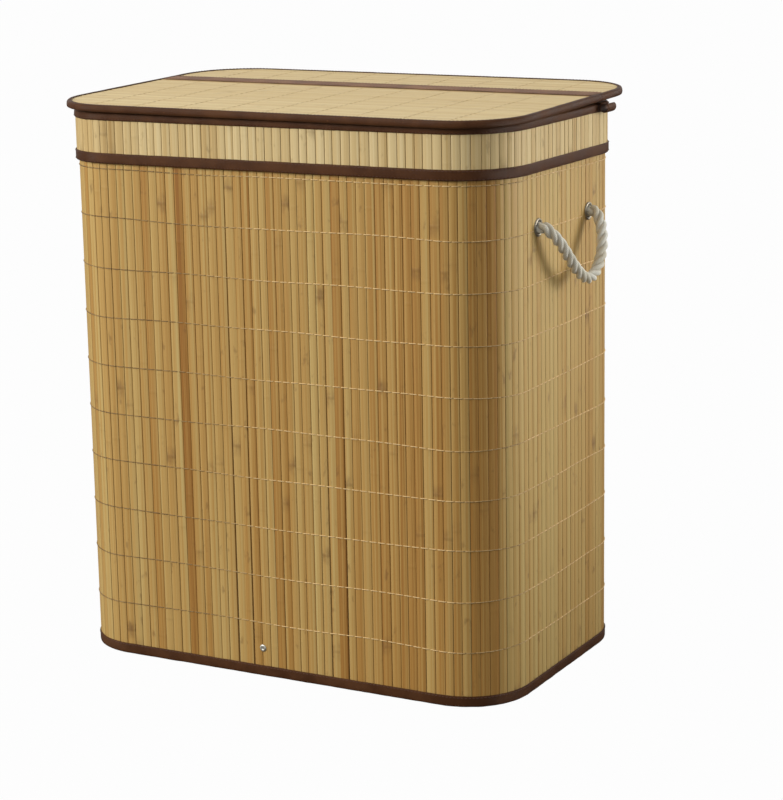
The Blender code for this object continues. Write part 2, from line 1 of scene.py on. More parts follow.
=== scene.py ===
# %% [markdown]
# # A bamboo laundry hamper
# A hamper like this is a mat of thin bamboo slats, bent round four corners and stood on end.
# Cloth tape hides every raw edge, a paler mat makes a collar round the mouth, and two twisted
# ropes are its handles. The measured parts are already there as a fixed frame. This file adds
# what the eye looks at: every slat, thread, tape, stitch and strand, and a finish for each.

import math
import random

import bmesh
import bpy
import numpy as np
from mathutils import Matrix, Vector, noise


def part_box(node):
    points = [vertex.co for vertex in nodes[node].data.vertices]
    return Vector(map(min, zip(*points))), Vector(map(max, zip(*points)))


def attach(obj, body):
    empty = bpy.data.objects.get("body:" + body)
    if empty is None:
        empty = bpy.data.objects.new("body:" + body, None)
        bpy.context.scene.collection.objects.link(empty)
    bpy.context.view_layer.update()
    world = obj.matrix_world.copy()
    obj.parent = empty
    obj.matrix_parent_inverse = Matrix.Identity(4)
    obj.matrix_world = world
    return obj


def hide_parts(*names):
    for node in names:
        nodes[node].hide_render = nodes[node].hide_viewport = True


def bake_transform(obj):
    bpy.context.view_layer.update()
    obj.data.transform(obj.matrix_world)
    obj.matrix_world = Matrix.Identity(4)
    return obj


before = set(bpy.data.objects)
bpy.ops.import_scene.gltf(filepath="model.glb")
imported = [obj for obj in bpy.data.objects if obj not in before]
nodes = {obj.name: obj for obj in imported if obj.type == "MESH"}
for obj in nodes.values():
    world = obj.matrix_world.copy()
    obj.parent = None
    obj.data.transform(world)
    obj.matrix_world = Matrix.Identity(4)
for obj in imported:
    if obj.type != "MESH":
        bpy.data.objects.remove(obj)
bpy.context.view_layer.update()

# %% [markdown]
# ## Camera and light
# The camera stands in front and to the right, a little above the lid, and far enough away for
# a long lens, so upright edges stay nearly parallel. Two large soft lamps light the front and
# the right side. Neither faces the corner between them, so the corner stays the darkest part
# of the wall and its roundness shows.

# %% Camera
CAMERA_PLACE = Vector((1.2456, -2.1885, 0.8364))
CAMERA_TURN = 0.4981      # radians about the vertical, from looking along +Y
CAMERA_TILT = -0.2223
CAMERA_ROLL = -0.0178
LENS_MM = 106.71

bpy.ops.object.camera_add()
camera = bpy.context.object
camera.data.lens = LENS_MM
camera.data.clip_end = 60
aim = Matrix.Rotation(CAMERA_TURN, 4, "Z") @ Matrix.Rotation(math.pi / 2 + CAMERA_TILT, 4, "X")
camera.matrix_world = Matrix.Translation(CAMERA_PLACE) @ aim @ Matrix.Rotation(CAMERA_ROLL, 4, "Z")
bpy.context.scene.camera = camera
bpy.context.scene.view_settings.view_transform = "Standard"
print("camera:", [round(x, 3) for x in camera.location], "lens", LENS_MM, "mm")

# %% Light


def add_lamp(name, place, towards, size, power, spread=180):
    """A square soft lamp that shines from one place towards another, as wide as spread degrees."""
    bpy.ops.object.light_add(type="AREA", location=place)
    lamp = bpy.context.object
    lamp.name = name
    lamp.data.size = size
    lamp.data.energy = power
    lamp.data.color = LAMP_COLOUR
    lamp.data.spread = math.radians(spread)
    lamp.rotation_euler = (Vector(towards) - Vector(place)).to_track_quat("-Z", "Y").to_euler()
    return lamp


LAMP_COLOUR = (1.0, 0.985, 0.96)
add_lamp("front_lamp", (-1.95, -2.30, 1.70), (0.0, 0.0, 0.35), 1.3, 76)
add_lamp("right_lamp", (1.45, 0.90, 0.62), (0.26, 0.0, 0.50), 0.9, 1.78, 40)

world = bpy.data.worlds.new("studio")
world.use_nodes = True
world.node_tree.nodes["Background"].inputs["Color"].default_value = (1.0, 1.0, 1.0, 1.0)
world.node_tree.nodes["Background"].inputs["Strength"].default_value = 0.56
bpy.context.scene.world = world

# %% [markdown]
# ## Helpers for modelling
# An operator acts on whatever is selected. So each step starts by clearing the selection, and
# picks what it needs by asking a question about its place.

# %% Select, open and close a piece
WELD_DISTANCE = 0.00002


def choose(*pieces):
    """Selects only these pieces, and makes the first the active one."""
    bpy.ops.object.select_all(action="DESELECT")
    for piece in pieces:
        piece.select_set(True)
    if pieces:
        bpy.context.view_layer.objects.active = pieces[0]


def start(kind, name, **size):
    """Adds one primitive and gives it a name."""
    choose()
    getattr(bpy.ops.mesh, "primitive_" + kind + "_add")(**size)
    piece = bpy.context.object
    piece.name = name
    piece.data.name = name
    return piece


def open_up(piece, select="SELECT"):
    """Goes into edit mode on a piece, with everything on it selected or nothing."""
    choose(piece)
    bpy.ops.object.mode_set(mode="EDIT")
    bpy.ops.mesh.select_all(action=select)


def close_up():
    """Leaves edit mode."""
    bpy.ops.object.mode_set(mode="OBJECT")


def settle(piece):
    """Puts a piece's place, turn and size into its mesh."""
    choose(piece)
    bpy.ops.object.transform_apply(location=True, rotation=True, scale=True)


def extrude(move):
    """In edit mode, extrudes what is selected and moves the new part."""
    bpy.ops.mesh.extrude_region_move(TRANSFORM_OT_translate={"value": move})


def slice_at(place, across, **settings):
    """In edit mode, cuts the whole piece along the plane through place, square to across."""
    bpy.ops.mesh.select_all(action="SELECT")
    bpy.ops.mesh.bisect(plane_co=place, plane_no=across, **settings)


def face_outwards(weld=False):
    """In edit mode, turns every face outwards, after merging doubled points if weld is set."""
    bpy.ops.mesh.select_all(action="SELECT")
    if weld:
        bpy.ops.mesh.remove_doubles(threshold=WELD_DISTANCE)
    bpy.ops.mesh.normals_make_consistent(inside=False)


def centre_of(item):
    """The middle of a vertex, an edge or a face."""
    if isinstance(item, bmesh.types.BMVert):
        return item.co.copy()
    return sum((vert.co for vert in item.verts), Vector()) / len(item.verts)


def pick(piece, kind, test):
    """In edit mode, selects the vertices, edges or faces that pass the test."""
    bpy.ops.mesh.select_mode(type=kind)
    bpy.ops.mesh.select_all(action="DESELECT")
    shape = bmesh.from_edit_mesh(piece.data)
    items = {"VERT": shape.verts, "EDGE": shape.edges, "FACE": shape.faces}[kind]
    for item in items:
        if test(item):
            item.select_set(True)
    shape.select_flush_mode()
    bmesh.update_edit_mesh(piece.data)


def finish_with(piece, kind, **settings):
    """Adds one modifier and applies it."""
    choose(piece)
    modifier = piece.modifiers.new(kind.lower(), kind)
    for name, value in settings.items():
        setattr(modifier, name, value)
    bpy.ops.object.modifier_apply(modifier=modifier.name)


def round_off(piece, levels=1):
    """Subdivides a piece into a rounder one."""
    finish_with(piece, "SUBSURF", levels=levels, render_levels=levels)


def smooth(piece, degrees):
    """Shades a piece smoothly across edges flatter than this."""
    choose(piece)
    bpy.ops.object.shade_smooth_by_angle(angle=math.radians(degrees))


def copy_of(piece, place):
    """A copy with its own mesh, moved by a matrix."""
    twin = piece.copy()
    twin.data = piece.data.copy()
    twin.data.transform(place)
    bpy.context.collection.objects.link(twin)
    return twin


def join(pieces, name):
    """Makes one piece of several, under one name."""
    choose(*pieces)
    bpy.ops.object.join()
    joined = bpy.context.object
    joined.name = name
    joined.data.name = name
    return joined


def remove(piece):
    bpy.data.objects.remove(piece, do_unlink=True)


def count_triangles(piece):
    return sum(len(face.vertices) - 2 for face in piece.data.polygons)


def report(piece):
    print(piece.name, "has", count_triangles(piece), "triangles")


# %% [markdown]
# ## Finishes
# Nothing here is one flat colour. A finish starts from a place on the piece, turns that place
# into soft noise or fine lines, and lets those steer colour, roughness and small bumps. Slats
# and ropes carry a map of their own, so grain follows each slat and yarn follows each strand.

# %% Joining nodes into a finish


def new_finish(name, colour, roughness, metallic=0.0):
    """A material with one Principled shader, its tree and the shader."""
    finish = bpy.data.materials.new(name)
    finish.use_nodes = True
    shader = finish.node_tree.nodes["Principled BSDF"]
    shader.inputs["Base Color"].default_value = (*colour, 1.0)
    shader.inputs["Roughness"].default_value = roughness
    shader.inputs["Metallic"].default_value = metallic
    return finish, finish.node_tree, shader


def feed(tree, socket, value):
    """Links a socket to a node's output, or sets it to a plain value."""
    if isinstance(value, bpy.types.NodeSocket):
        tree.links.new(value, socket)
    else:
        socket.default_value = value


def calc(tree, operation, *values):
    """One sum on numbers."""
    made = tree.nodes.new("ShaderNodeMath")
    made.operation = operation
    for socket, value in zip(made.inputs, values):
        feed(tree, socket, value)
    return made.outputs[0]


def fade(tree, amount, low, high, start=0.0, end=1.0):
    """Goes smoothly from start to end while amount goes from low to high."""
    made = tree.nodes.new("ShaderNodeMapRange")
    made.interpolation_type = "SMOOTHSTEP"
    for socket, value in zip(made.inputs, (amount, low, high, start, end)):
        feed(tree, socket, value)
    return made.outputs[0]


def vector(tree, x, y, z):
    """A place put together from three numbers."""
    made = tree.nodes.new("ShaderNodeCombineXYZ")
    for socket, value in zip(made.inputs, (x, y, z)):
        feed(tree, socket, value)
    return made.outputs[0]


def split(tree, place):
    """The three numbers of a place."""
    made = tree.nodes.new("ShaderNodeSeparateXYZ")
    feed(tree, made.inputs[0], place)
    return made.outputs


def cloud(tree, place, scale, detail=3.0, roughness=0.55):
    """Soft noise from 0 to 1."""
    made = tree.nodes.new("ShaderNodeTexNoise")
    feed(tree, made.inputs["Vector"], place)
    made.inputs["Scale"].default_value = scale
    made.inputs["Detail"].default_value = detail
    made.inputs["Roughness"].default_value = roughness
    return made.outputs[0]


def lines(tree, place, direction, spacing, distortion=0.0):
    """Fine parallel lines, spacing apart in metres."""
    made = tree.nodes.new("ShaderNodeTexWave")
    made.bands_direction = direction
    feed(tree, made.inputs["Vector"], place)
    waves = 10 if direction == "DIAGONAL" else 20
    made.inputs["Scale"].default_value = 2 * math.pi / (waves * spacing)
    made.inputs["Distortion"].default_value = distortion
    return made.outputs["Fac"]


def ramp(tree, amount, stops):
    """A colour that depends on a number."""
    made = tree.nodes.new("ShaderNodeValToRGB")
    feed(tree, made.inputs[0], amount)
    elements = made.color_ramp.elements
    for element, (spot, colour) in zip(elements, (stops[0], stops[-1])):
        element.position = spot
        element.color = (*colour, 1.0)
    for spot, colour in stops[1:-1]:
        elements.new(spot).color = (*colour, 1.0)
    return made.outputs[0]


def mix(tree, amount, first, second):
    """Two colours blended by a number."""
    made = tree.nodes.new("ShaderNodeMix")
    made.data_type = "RGBA"
    feed(tree, made.inputs[0], amount)
    for socket, colour in zip((made.inputs[6], made.inputs[7]), (first, second)):
        is_link = isinstance(colour, bpy.types.NodeSocket)
        feed(tree, socket, colour if is_link else (*colour, 1.0))
    return made.outputs[2]


def emboss(tree, shader, height, depth):
    """Small bumps: height from 0 to 1, depth in metres."""
    made = tree.nodes.new("ShaderNodeBump")
    made.inputs["Strength"].default_value = 1.0
    made.inputs["Distance"].default_value = depth
    feed(tree, made.inputs["Height"], height)
    feed(tree, shader.inputs["Normal"], made.outputs[0])


def place_on(tree, name=None):
    """A map written on the piece, or the piece's own coordinates."""
    if name is None:
        return tree.nodes.new("ShaderNodeTexCoord").outputs["Object"]
    made = tree.nodes.new("ShaderNodeUVMap")
    made.uv_map = name
    return made.outputs[0]


print("finish helpers ready")

# %% Bamboo
# Split bamboo has long streaks, fine fibres, a joint every quarter metre or so and brown stains. The long
# edges of each slat are darker, partly as knife marks and partly as painted shade of the gaps between
# slats. Each slat draws its own luck from its number.
JOINT_SPACING = 0.27
JOINT_HALF = 0.0028          # half the height of the dark line at a joint
STAIN_REACH = 0.0140         # how far from a joint the stain goes
EDGE_STAIN_AND_GAP_SHADE = 0.30
BAMBOO_SHINE = 0.28
BAMBOO_RELIEF = 0.00022


def luck_of(tree, number):
    """Three random numbers from 0 to 1 that belong to one slat."""
    dice = tree.nodes.new("ShaderNodeTexWhiteNoise")
    dice.noise_dimensions = "1D"
    feed(tree, dice.inputs["W"], number)
    return split(tree, dice.outputs["Color"])


def grain(tree, across, along, here, fineness, length):
    """Noise that is drawn out along the slat: fineness across it, length along it."""
    spot = vector(tree, calc(tree, "MULTIPLY_ADD", across, fineness, here),
                  calc(tree, "MULTIPLY", along, length), here)
    return cloud(tree, spot, 1.0, 3.0, 0.6)


def add_share(tree, total, noise_value, share):
    """Adds a share of noise that is centred on nothing."""
    return calc(tree, "MULTIPLY_ADD", calc(tree, "SUBTRACT", noise_value, 0.5), share, total)


def bamboo_finish(name, tones, stain, stain_amount, roughness=0.50):
    """Tones run from the darkest streak to the palest. The stain colours joints and spots, and darkens the
    edges, partly as painted shade.
    """
    finish, tree, shader = new_finish(name, tones[len(tones) // 2][1], roughness)
    number_and_across, along = split(tree, place_on(tree, "slat_place"))[:2]
    across = calc(tree, "FRACT", number_and_across)
    luck_a, luck_b, luck_c = luck_of(tree, calc(tree, "FLOOR", number_and_across))
    here = calc(tree, "MULTIPLY", luck_a, 90.0)
    bands = grain(tree, across, along, here, 3.0, 1.1)
    streaks = grain(tree, across, along, here, 6.0, 2.4)
    fibres = grain(tree, across, along, here, 26.0, 22.0)
    patches = grain(tree, across, along, here, 0.9, 42.0)

    shade = split(tree, place_on(tree, "slat_tone"))[0]
    shade = add_share(tree, shade, bands, 1.20)
    shade = add_share(tree, shade, streaks, 0.90)
    shade = add_share(tree, shade, fibres, 0.28)
    colour = ramp(tree, shade, tones)

    turns = calc(tree, "DIVIDE", along, JOINT_SPACING)
    turn = calc(tree, "FRACT", calc(tree, "MULTIPLY_ADD", luck_b, 7.3, turns))
    off_joint = calc(tree, "ABSOLUTE", calc(tree, "SUBTRACT", turn, 0.5))
    from_joint = calc(tree, "MULTIPLY", off_joint, JOINT_SPACING)
    joint = fade(tree, from_joint, JOINT_HALF / 7, JOINT_HALF, 1.0, 0.0)
    halo = fade(tree, from_joint, STAIN_REACH / 7, STAIN_REACH, 1.0, 0.0)
    strong = fade(tree, luck_c, 0.40, 0.95, 0.05, 0.55)
    uneven = calc(tree, "MULTIPLY", strong, fade(tree, patches, 0.35, 0.65))
    stained = calc(tree, "MULTIPLY", halo, uneven)
    line = calc(tree, "MULTIPLY", joint, calc(tree, "MULTIPLY", strong, 0.45))
    spots = calc(tree, "MULTIPLY", fade(tree, patches, 0.62, 0.76), 0.45)
    from_middle = calc(tree, "ABSOLUTE", calc(tree, "SUBTRACT", across, 0.5))
    # painted shade: the long edges darken towards the stain, standing for the shade in the gaps between
    # slats as well as knife marks
    edge = fade(tree, from_middle, 0.40, 0.48, 0.0, EDGE_STAIN_AND_GAP_SHADE)
    for share in (stained, line, spots):
        colour = mix(tree, calc(tree, "MULTIPLY", share, stain_amount), colour, stain)
    colour = mix(tree, edge, colour, stain)
    dullness = fade(tree, streaks, 0.3, 0.7, roughness - 0.07, roughness + 0.08)
    feed(tree, shader.inputs["Base Color"], colour)
    feed(tree, shader.inputs["Roughness"], dullness)
    shader.inputs["Specular IOR Level"].default_value = BAMBOO_SHINE
    relief = calc(tree, "MULTIPLY_ADD", fibres, 0.5, calc(tree, "MULTIPLY_ADD", joint, 0.6, streaks))
    emboss(tree, shader, relief, BAMBOO_RELIEF)
    return finish


WALL_TONES = [(0.0, (0.300, 0.128, 0.022)), (0.30, (0.435, 0.226, 0.053)),
              (0.60, (0.515, 0.313, 0.094)), (1.0, (0.580, 0.425, 0.160))]
COLLAR_TONES = [(0.0, (0.400, 0.245, 0.080)), (0.35, (0.560, 0.388, 0.160)),
                (0.65, (0.650, 0.485, 0.228)), (1.0, (0.735, 0.580, 0.305))]
LID_TONES = [(0.0, (0.600, 0.390, 0.165)), (0.35, (0.705, 0.518, 0.246)),
             (0.65, (0.768, 0.588, 0.297)), (1.0, (0.825, 0.662, 0.360))]
bamboo = bamboo_finish("wall_bamboo", WALL_TONES, (0.170, 0.080, 0.026), 1.0)
collar_bamboo = bamboo_finish("collar_bamboo", COLLAR_TONES, (0.210, 0.125, 0.045), 0.8)
lid_bamboo = bamboo_finish("lid_bamboo", LID_TONES, (0.330, 0.200, 0.085), 0.5)
print("bamboo finishes:", bamboo.name, collar_bamboo.name, lid_bamboo.name)

# %% Cloth tape
# A close twill that shines a little: diagonal ribs, darker and lighter runs, and pale specks.
RIB_SPACING = 0.0011
CROSS_SPACING = 0.0007
TAPE_SHINE = 0.16
TAPE_RELIEF = 0.00012


def tape_finish(name, dark, light, roughness=0.40):
    """Brown tape between a dark and a light shade."""
    finish, tree, shader = new_finish(name, dark, roughness)
    place = place_on(tree)
    ribs = lines(tree, place, "DIAGONAL", RIB_SPACING, 0.6)
    cross = lines(tree, place, "Z", CROSS_SPACING, 0.4)
    runs = cloud(tree, place, 38.0, 4.0)
    specks = fade(tree, cloud(tree, place, 520.0, 1.0), 0.70, 0.78, 0.0, 0.45)
    amount = calc(tree, "MULTIPLY_ADD", ribs, 0.30, fade(tree, runs, 0.35, 0.70, 0.0, 0.7))
    colour = mix(tree, amount, dark, light)
    colour = mix(tree, specks, colour, [min(1.0, 2.4 * c) for c in light])
    dullness = fade(tree, runs, 0.3, 0.7, roughness - 0.05, roughness + 0.10)
    feed(tree, shader.inputs["Base Color"], colour)
    feed(tree, shader.inputs["Roughness"], dullness)
    shader.inputs["Specular IOR Level"].default_value = TAPE_SHINE
    emboss(tree, shader, calc(tree, "MULTIPLY_ADD", cross, 0.5, ribs), TAPE_RELIEF)
    return finish


tape = tape_finish("brown_tape", (0.062, 0.021, 0.006), (0.106, 0.040, 0.013))
hinge_cloth = tape_finish("hinge_cloth", (0.190, 0.095, 0.052), (0.360, 0.205, 0.120), 0.55)
stitching, stitch_tree, stitch_shader = new_finish("stitching", (0.070, 0.026, 0.016), 0.6)
twist = lines(stitch_tree, place_on(stitch_tree), "DIAGONAL", 0.0006)
feed(stitch_tree, stitch_shader.inputs["Base Color"],
     mix(stitch_tree, twist, (0.060, 0.022, 0.013), (0.150, 0.066, 0.040)))
emboss(stitch_tree, stitch_shader, twist, 0.0001)
print("tape finishes:", tape.name, hinge_cloth.name, stitching.name)

# %% Rope and thread
ROPE_LAY = 0.0345            # along the rope, one full turn of a strand
STRANDS = 3
YARNS = 27                   # seen round the rope
YARN_RELIEF = 0.00045


def rope_finish():
    """Cotton rope: yarns lie along the rope, and the valleys between strands are darkened as painted shade.
    """
    finish, tree, shader = new_finish("rope_cotton", (0.70, 0.65, 0.53), 0.9)
    round_it, along = split(tree, place_on(tree, "rope_place"))[:2]
    turn = calc(tree, "MULTIPLY_ADD", along, 1.0 / ROPE_LAY, round_it)
    yarn = calc(tree, "SINE", calc(tree, "MULTIPLY", turn, 2 * math.pi * YARNS))
    yarn = fade(tree, yarn, -1.0, 1.0)
    on_strand = calc(tree, "FRACT", calc(tree, "MULTIPLY", round_it, float(STRANDS)))
    from_valley = calc(tree, "ABSOLUTE", calc(tree, "SUBTRACT", on_strand, 0.5))
    # painted shade: the valleys between the strands are darkened where shade falls
    hollow = fade(tree, from_valley, 0.02, 0.26, 1.0, 0.0)
    fluff = cloud(tree, place_on(tree), 420.0, 4.0, 0.7)
    stain = fade(tree, cloud(tree, place_on(tree), 45.0, 3.0), 0.3, 0.7)
    colour = ramp(tree, stain, [(0.0, (0.80, 0.755, 0.61)), (1.0, (0.91, 0.90, 0.80))])
    colour = mix(tree, calc(tree, "MULTIPLY", yarn, 0.22), colour, (0.42, 0.34, 0.22))
    colour = mix(tree, calc(tree, "MULTIPLY", hollow, 0.30), colour, (0.36, 0.28, 0.17))
    feed(tree, shader.inputs["Base Color"], colour)
    shader.inputs["Sheen Weight"].default_value = 0.25
    shader.inputs["Sheen Roughness"].default_value = 0.6
    relief = calc(tree, "MULTIPLY_ADD", yarn, -0.6, calc(tree, "MULTIPLY", fluff, 0.8))
    emboss(tree, shader, relief, YARN_RELIEF)
    return finish


def thread_finish():
    """Pale thread with painted light: browner towards the left, where it catches no light, and painted
    shade on the right front corner, with noise for its own tone.
    """
    finish, tree, shader = new_finish("thread", (0.55, 0.40, 0.20), 0.45)
    place = place_on(tree)
    side_x, side_y = split(tree, place)[:2]
    at_corner = fade(tree, side_y, -0.12, -0.07, 1.0, 0.2)
    # painted light: the thread grows paler towards the right, where the lamp catches it, plus noise for its
    # own tone
    pale = calc(tree, "ADD", fade(tree, side_x, -0.16, 0.06, 0.0, 0.62),
                calc(tree, "MULTIPLY", cloud(tree, place, 24.0, 2.0), 0.55))
    # painted shade on the thread at the right front corner
    painted_corner_shade = calc(tree, "MULTIPLY", fade(tree, side_x, 0.19, 0.23, 0.0, 0.35), at_corner)
    amount = calc(tree, "SUBTRACT", pale, painted_corner_shade)
    colour = ramp(tree, amount, [(0.20, (0.22, 0.125, 0.040)), (0.50, (0.42, 0.27, 0.10)),
                                 (0.85, (0.80, 0.56, 0.26))])
    feed(tree, shader.inputs["Base Color"], colour)
    emboss(tree, shader, lines(tree, place, "DIAGONAL", 0.0008), 0.0001)
    return finish


def lid_thread_finish():
    """The same thread on the lid, nearly as pale as the slats under it."""
    finish, tree, shader = new_finish("lid_thread", (0.58, 0.43, 0.22), 0.6)
    soaked = cloud(tree, place_on(tree), 60.0, 2.0)
    feed(tree, shader.inputs["Base Color"], mix(tree, soaked, (0.42, 0.29, 0.13), (0.72, 0.56, 0.31)))
    return finish


rope_cotton = rope_finish()
thread = thread_finish()
pale_thread = lid_thread_finish()
print("rope finishes:", rope_cotton.name, thread.name, pale_thread.name)

# %% Cotton, cloth, board and metal


def cloth_finish(name, dark, light, spacing, depth, roughness=0.92):
    """Plain weave: two sets of fine lines, with slubs where a thread is thicker."""
    finish, tree, shader = new_finish(name, light, roughness)
    place = place_on(tree)
    upright = lines(tree, place, "DIAGONAL", spacing, 0.5)
    level = lines(tree, place, "Z", spacing, 0.5)
    slubs = cloud(tree, place, 160.0, 4.0, 0.65)
    weave = calc(tree, "MULTIPLY_ADD", upright, 0.5, calc(tree, "MULTIPLY", level, 0.5))
    amount = calc(tree, "MULTIPLY_ADD", slubs, 0.8, calc(tree, "MULTIPLY", weave, 0.2))
    feed(tree, shader.inputs["Base Color"], mix(tree, amount, dark, light))
    shader.inputs["Sheen Weight"].default_value = 0.15
    emboss(tree, shader, calc(tree, "MULTIPLY_ADD", slubs, 0.7, weave), depth)
    return finish


def fibre_finish(name, dark, light, scale, depth, roughness=0.85):
    """Pressed or brushed fibres: fine noise over coarse noise."""
    finish, tree, shader = new_finish(name, light, roughness)
    place = place_on(tree)
    coarse = cloud(tree, place, scale * 0.12, 3.0)
    fine = cloud(tree, place, scale, 5.0, 0.7)
    amount = calc(tree, "MULTIPLY_ADD", coarse, 0.5, calc(tree, "MULTIPLY", fine, 0.6))
    feed(tree, shader.inputs["Base Color"], mix(tree, amount, dark, light))
    emboss(tree, shader, fine, depth)
    return finish


def metal_finish(name, dark, light, roughness):
    """Plated metal: slightly uneven shine and fine rubbing marks."""
    finish, tree, shader = new_finish(name, light, roughness, 1.0)
    place = place_on(tree)
    rubbing = cloud(tree, place, 260.0, 4.0, 0.6)
    dullness = fade(tree, rubbing, 0.3, 0.7, roughness - 0.08, roughness + 0.14)
    feed(tree, shader.inputs["Base Color"], mix(tree, rubbing, dark, light))
    feed(tree, shader.inputs["Roughness"], dullness)
    emboss(tree, shader, cloud(tree, place, 1400.0, 2.0), 0.00003)
    return finish


liner_cotton = cloth_finish("liner_cotton", (0.60, 0.55, 0.46), (0.84, 0.80, 0.72), 0.0012, 0.00012)
backing = cloth_finish("backing_weave", (0.22, 0.13, 0.055), (0.38, 0.25, 0.12), 0.0010, 0.00012)
lining = cloth_finish("lining", (0.52, 0.44, 0.32), (0.74, 0.66, 0.52), 0.0010, 0.00012)
board = fibre_finish("pressed_board", (0.17, 0.10, 0.055), (0.42, 0.29, 0.17), 900.0, 0.0001)
pad_fluff = fibre_finish("pad_fluff", (0.50, 0.45, 0.37), (0.80, 0.76, 0.68), 1500.0, 0.0004, 0.95)
nickel = metal_finish("worn_nickel", (0.24, 0.21, 0.16), (0.46, 0.42, 0.34), 0.36)
bright_nickel = metal_finish("bright_nickel", (0.50, 0.48, 0.42), (0.74, 0.72, 0.64), 0.46)
steel = metal_finish("drawn_steel", (0.30, 0.30, 0.30), (0.55, 0.55, 0.56), 0.38)

NODE_FINISHES = {
    "backing_cloth": backing, "base_cover": lining, "base_board": board, "rim_wire": steel,
    "lid_front_board": board, "lid_rear_board": board,
    "lid_front_lining": lining, "lid_rear_lining": lining,
}
for name, node in nodes.items():
    finish = NODE_FINISHES.get(name)
    if name.startswith("washer"):
        finish = nickel
    if "_pad_" in name:
        finish = pad_fluff
    if finish is not None:
        for slot in node.material_slots:
            slot.material = finish
print("finishes:", len(bpy.data.materials))


def wear(piece, finish):
    """Gives a piece one finish all over."""
    piece.data.materials.clear()
    piece.data.materials.append(finish)


# %% [markdown]
# ## Rope handles
# Each handle is one short length of three-strand rope. It comes out of a metal ring, droops,
# and goes back in through a second ring, and a knot inside the wall stops each end. A tube
# would look like a hose. What makes a rope is its section, three strands pressed together,
# and that section turns as it goes along.

# %% The rope's route
WALL_LOW, WALL_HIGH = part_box("body_mat")
WALL_WIDTH = WALL_HIGH.x - WALL_LOW.x
WALL_DEPTH = WALL_HIGH.y - WALL_LOW.y
ROPE_DIAMETER = 0.0120
ROPE_TUCK = 0.0080           # how far each end goes on inside its ring
SWING_OUT = 0.0082           # the swing axis, outside the wall's face
HANDLE_HEIGHT = 0.4810
HANDLE_REACH = 0.0620        # from the wall's middle to each ring
# out from the swing axis, along the wall, below the axis
HANDLE_ROUTE = [
    (0.0000, -0.0620, 0.0000),
    (0.0042, -0.0590, 0.0048),
    (0.0078, -0.0535, 0.0110),
    (0.0106, -0.0465, 0.0190),
    (0.0126, -0.0385, 0.0285),
    (0.0142, -0.0300, 0.0380),
    (0.0156, -0.0195, 0.0478),
    (0.0166, -0.0075, 0.0560),
    (0.0171, 0.0065, 0.0600),
    (0.0172, 0.0205, 0.0572),
    (0.0168, 0.0320, 0.0495),
    (0.0159, 0.0408, 0.0396),
    (0.0141, 0.0476, 0.0290),
    (0.0112, 0.0530, 0.0190),
    (0.0077, 0.0572, 0.0110),
    (0.0040, 0.0600, 0.0046),
    (0.0000, 0.0620, 0.0000),
]


def smooth_line(route, per_span):
    """Points on a smooth curve through the route's own points."""
    points = [Vector(p) for p in route]
    padded = [2 * points[0] - points[1]] + points + [2 * points[-1] - points[-2]]
    line = []
    for before, first, second, after in zip(padded, padded[1:], padded[2:], padded[3:]):
        for step in range(per_span):
            t = step / per_span
            pull = 2 * before - 5 * first + 4 * second - after
            turn = 3 * first - before - 3 * second + after
            line.append((2 * first + (second - before) * t + pull * t * t + turn * t ** 3) / 2)
    line.append(points[-1])
    return line


def handle_line(end):
    """A handle's centre line on one end of the hamper: 1 is right, -1 is left."""
    tuck = [(-ROPE_TUCK, HANDLE_ROUTE[0][1], 0.0), (-ROPE_TUCK / 2, HANDLE_ROUTE[0][1], 0.0)]
    tuck_back = [(-ROPE_TUCK / 2, HANDLE_ROUTE[-1][1], 0.0), (-ROPE_TUCK, HANDLE_ROUTE[-1][1], 0.0)]
    axis = end * (WALL_WIDTH / 2 + SWING_OUT)
    route = tuck + HANDLE_ROUTE + tuck_back
    return smooth_line([(axis + end * out, y, HANDLE_HEIGHT - drop) for out, y, drop in route], 10)


def line_length(points):
    """The length of a line of points."""
    return sum((b - a).length for a, b in zip(points, points[1:]))


print("rope handle:", round(line_length(handle_line(1)), 4), "m long")

# %% The rope itself
STRAND_RADIUS = 0.52         # shares of the rope's radius
STRAND_OFFSET = 0.48
ROPE_SIDES = 30


def strand_edge(angle):
    """How far out the rope's section reaches at an angle, as a share of its radius."""
    third = 2 * math.pi / STRANDS
    swing = (angle + third / 2) % third - third / 2
    inner = math.sqrt(STRAND_RADIUS ** 2 - (STRAND_OFFSET * math.sin(swing)) ** 2)
    return STRAND_OFFSET * math.cos(swing) + inner


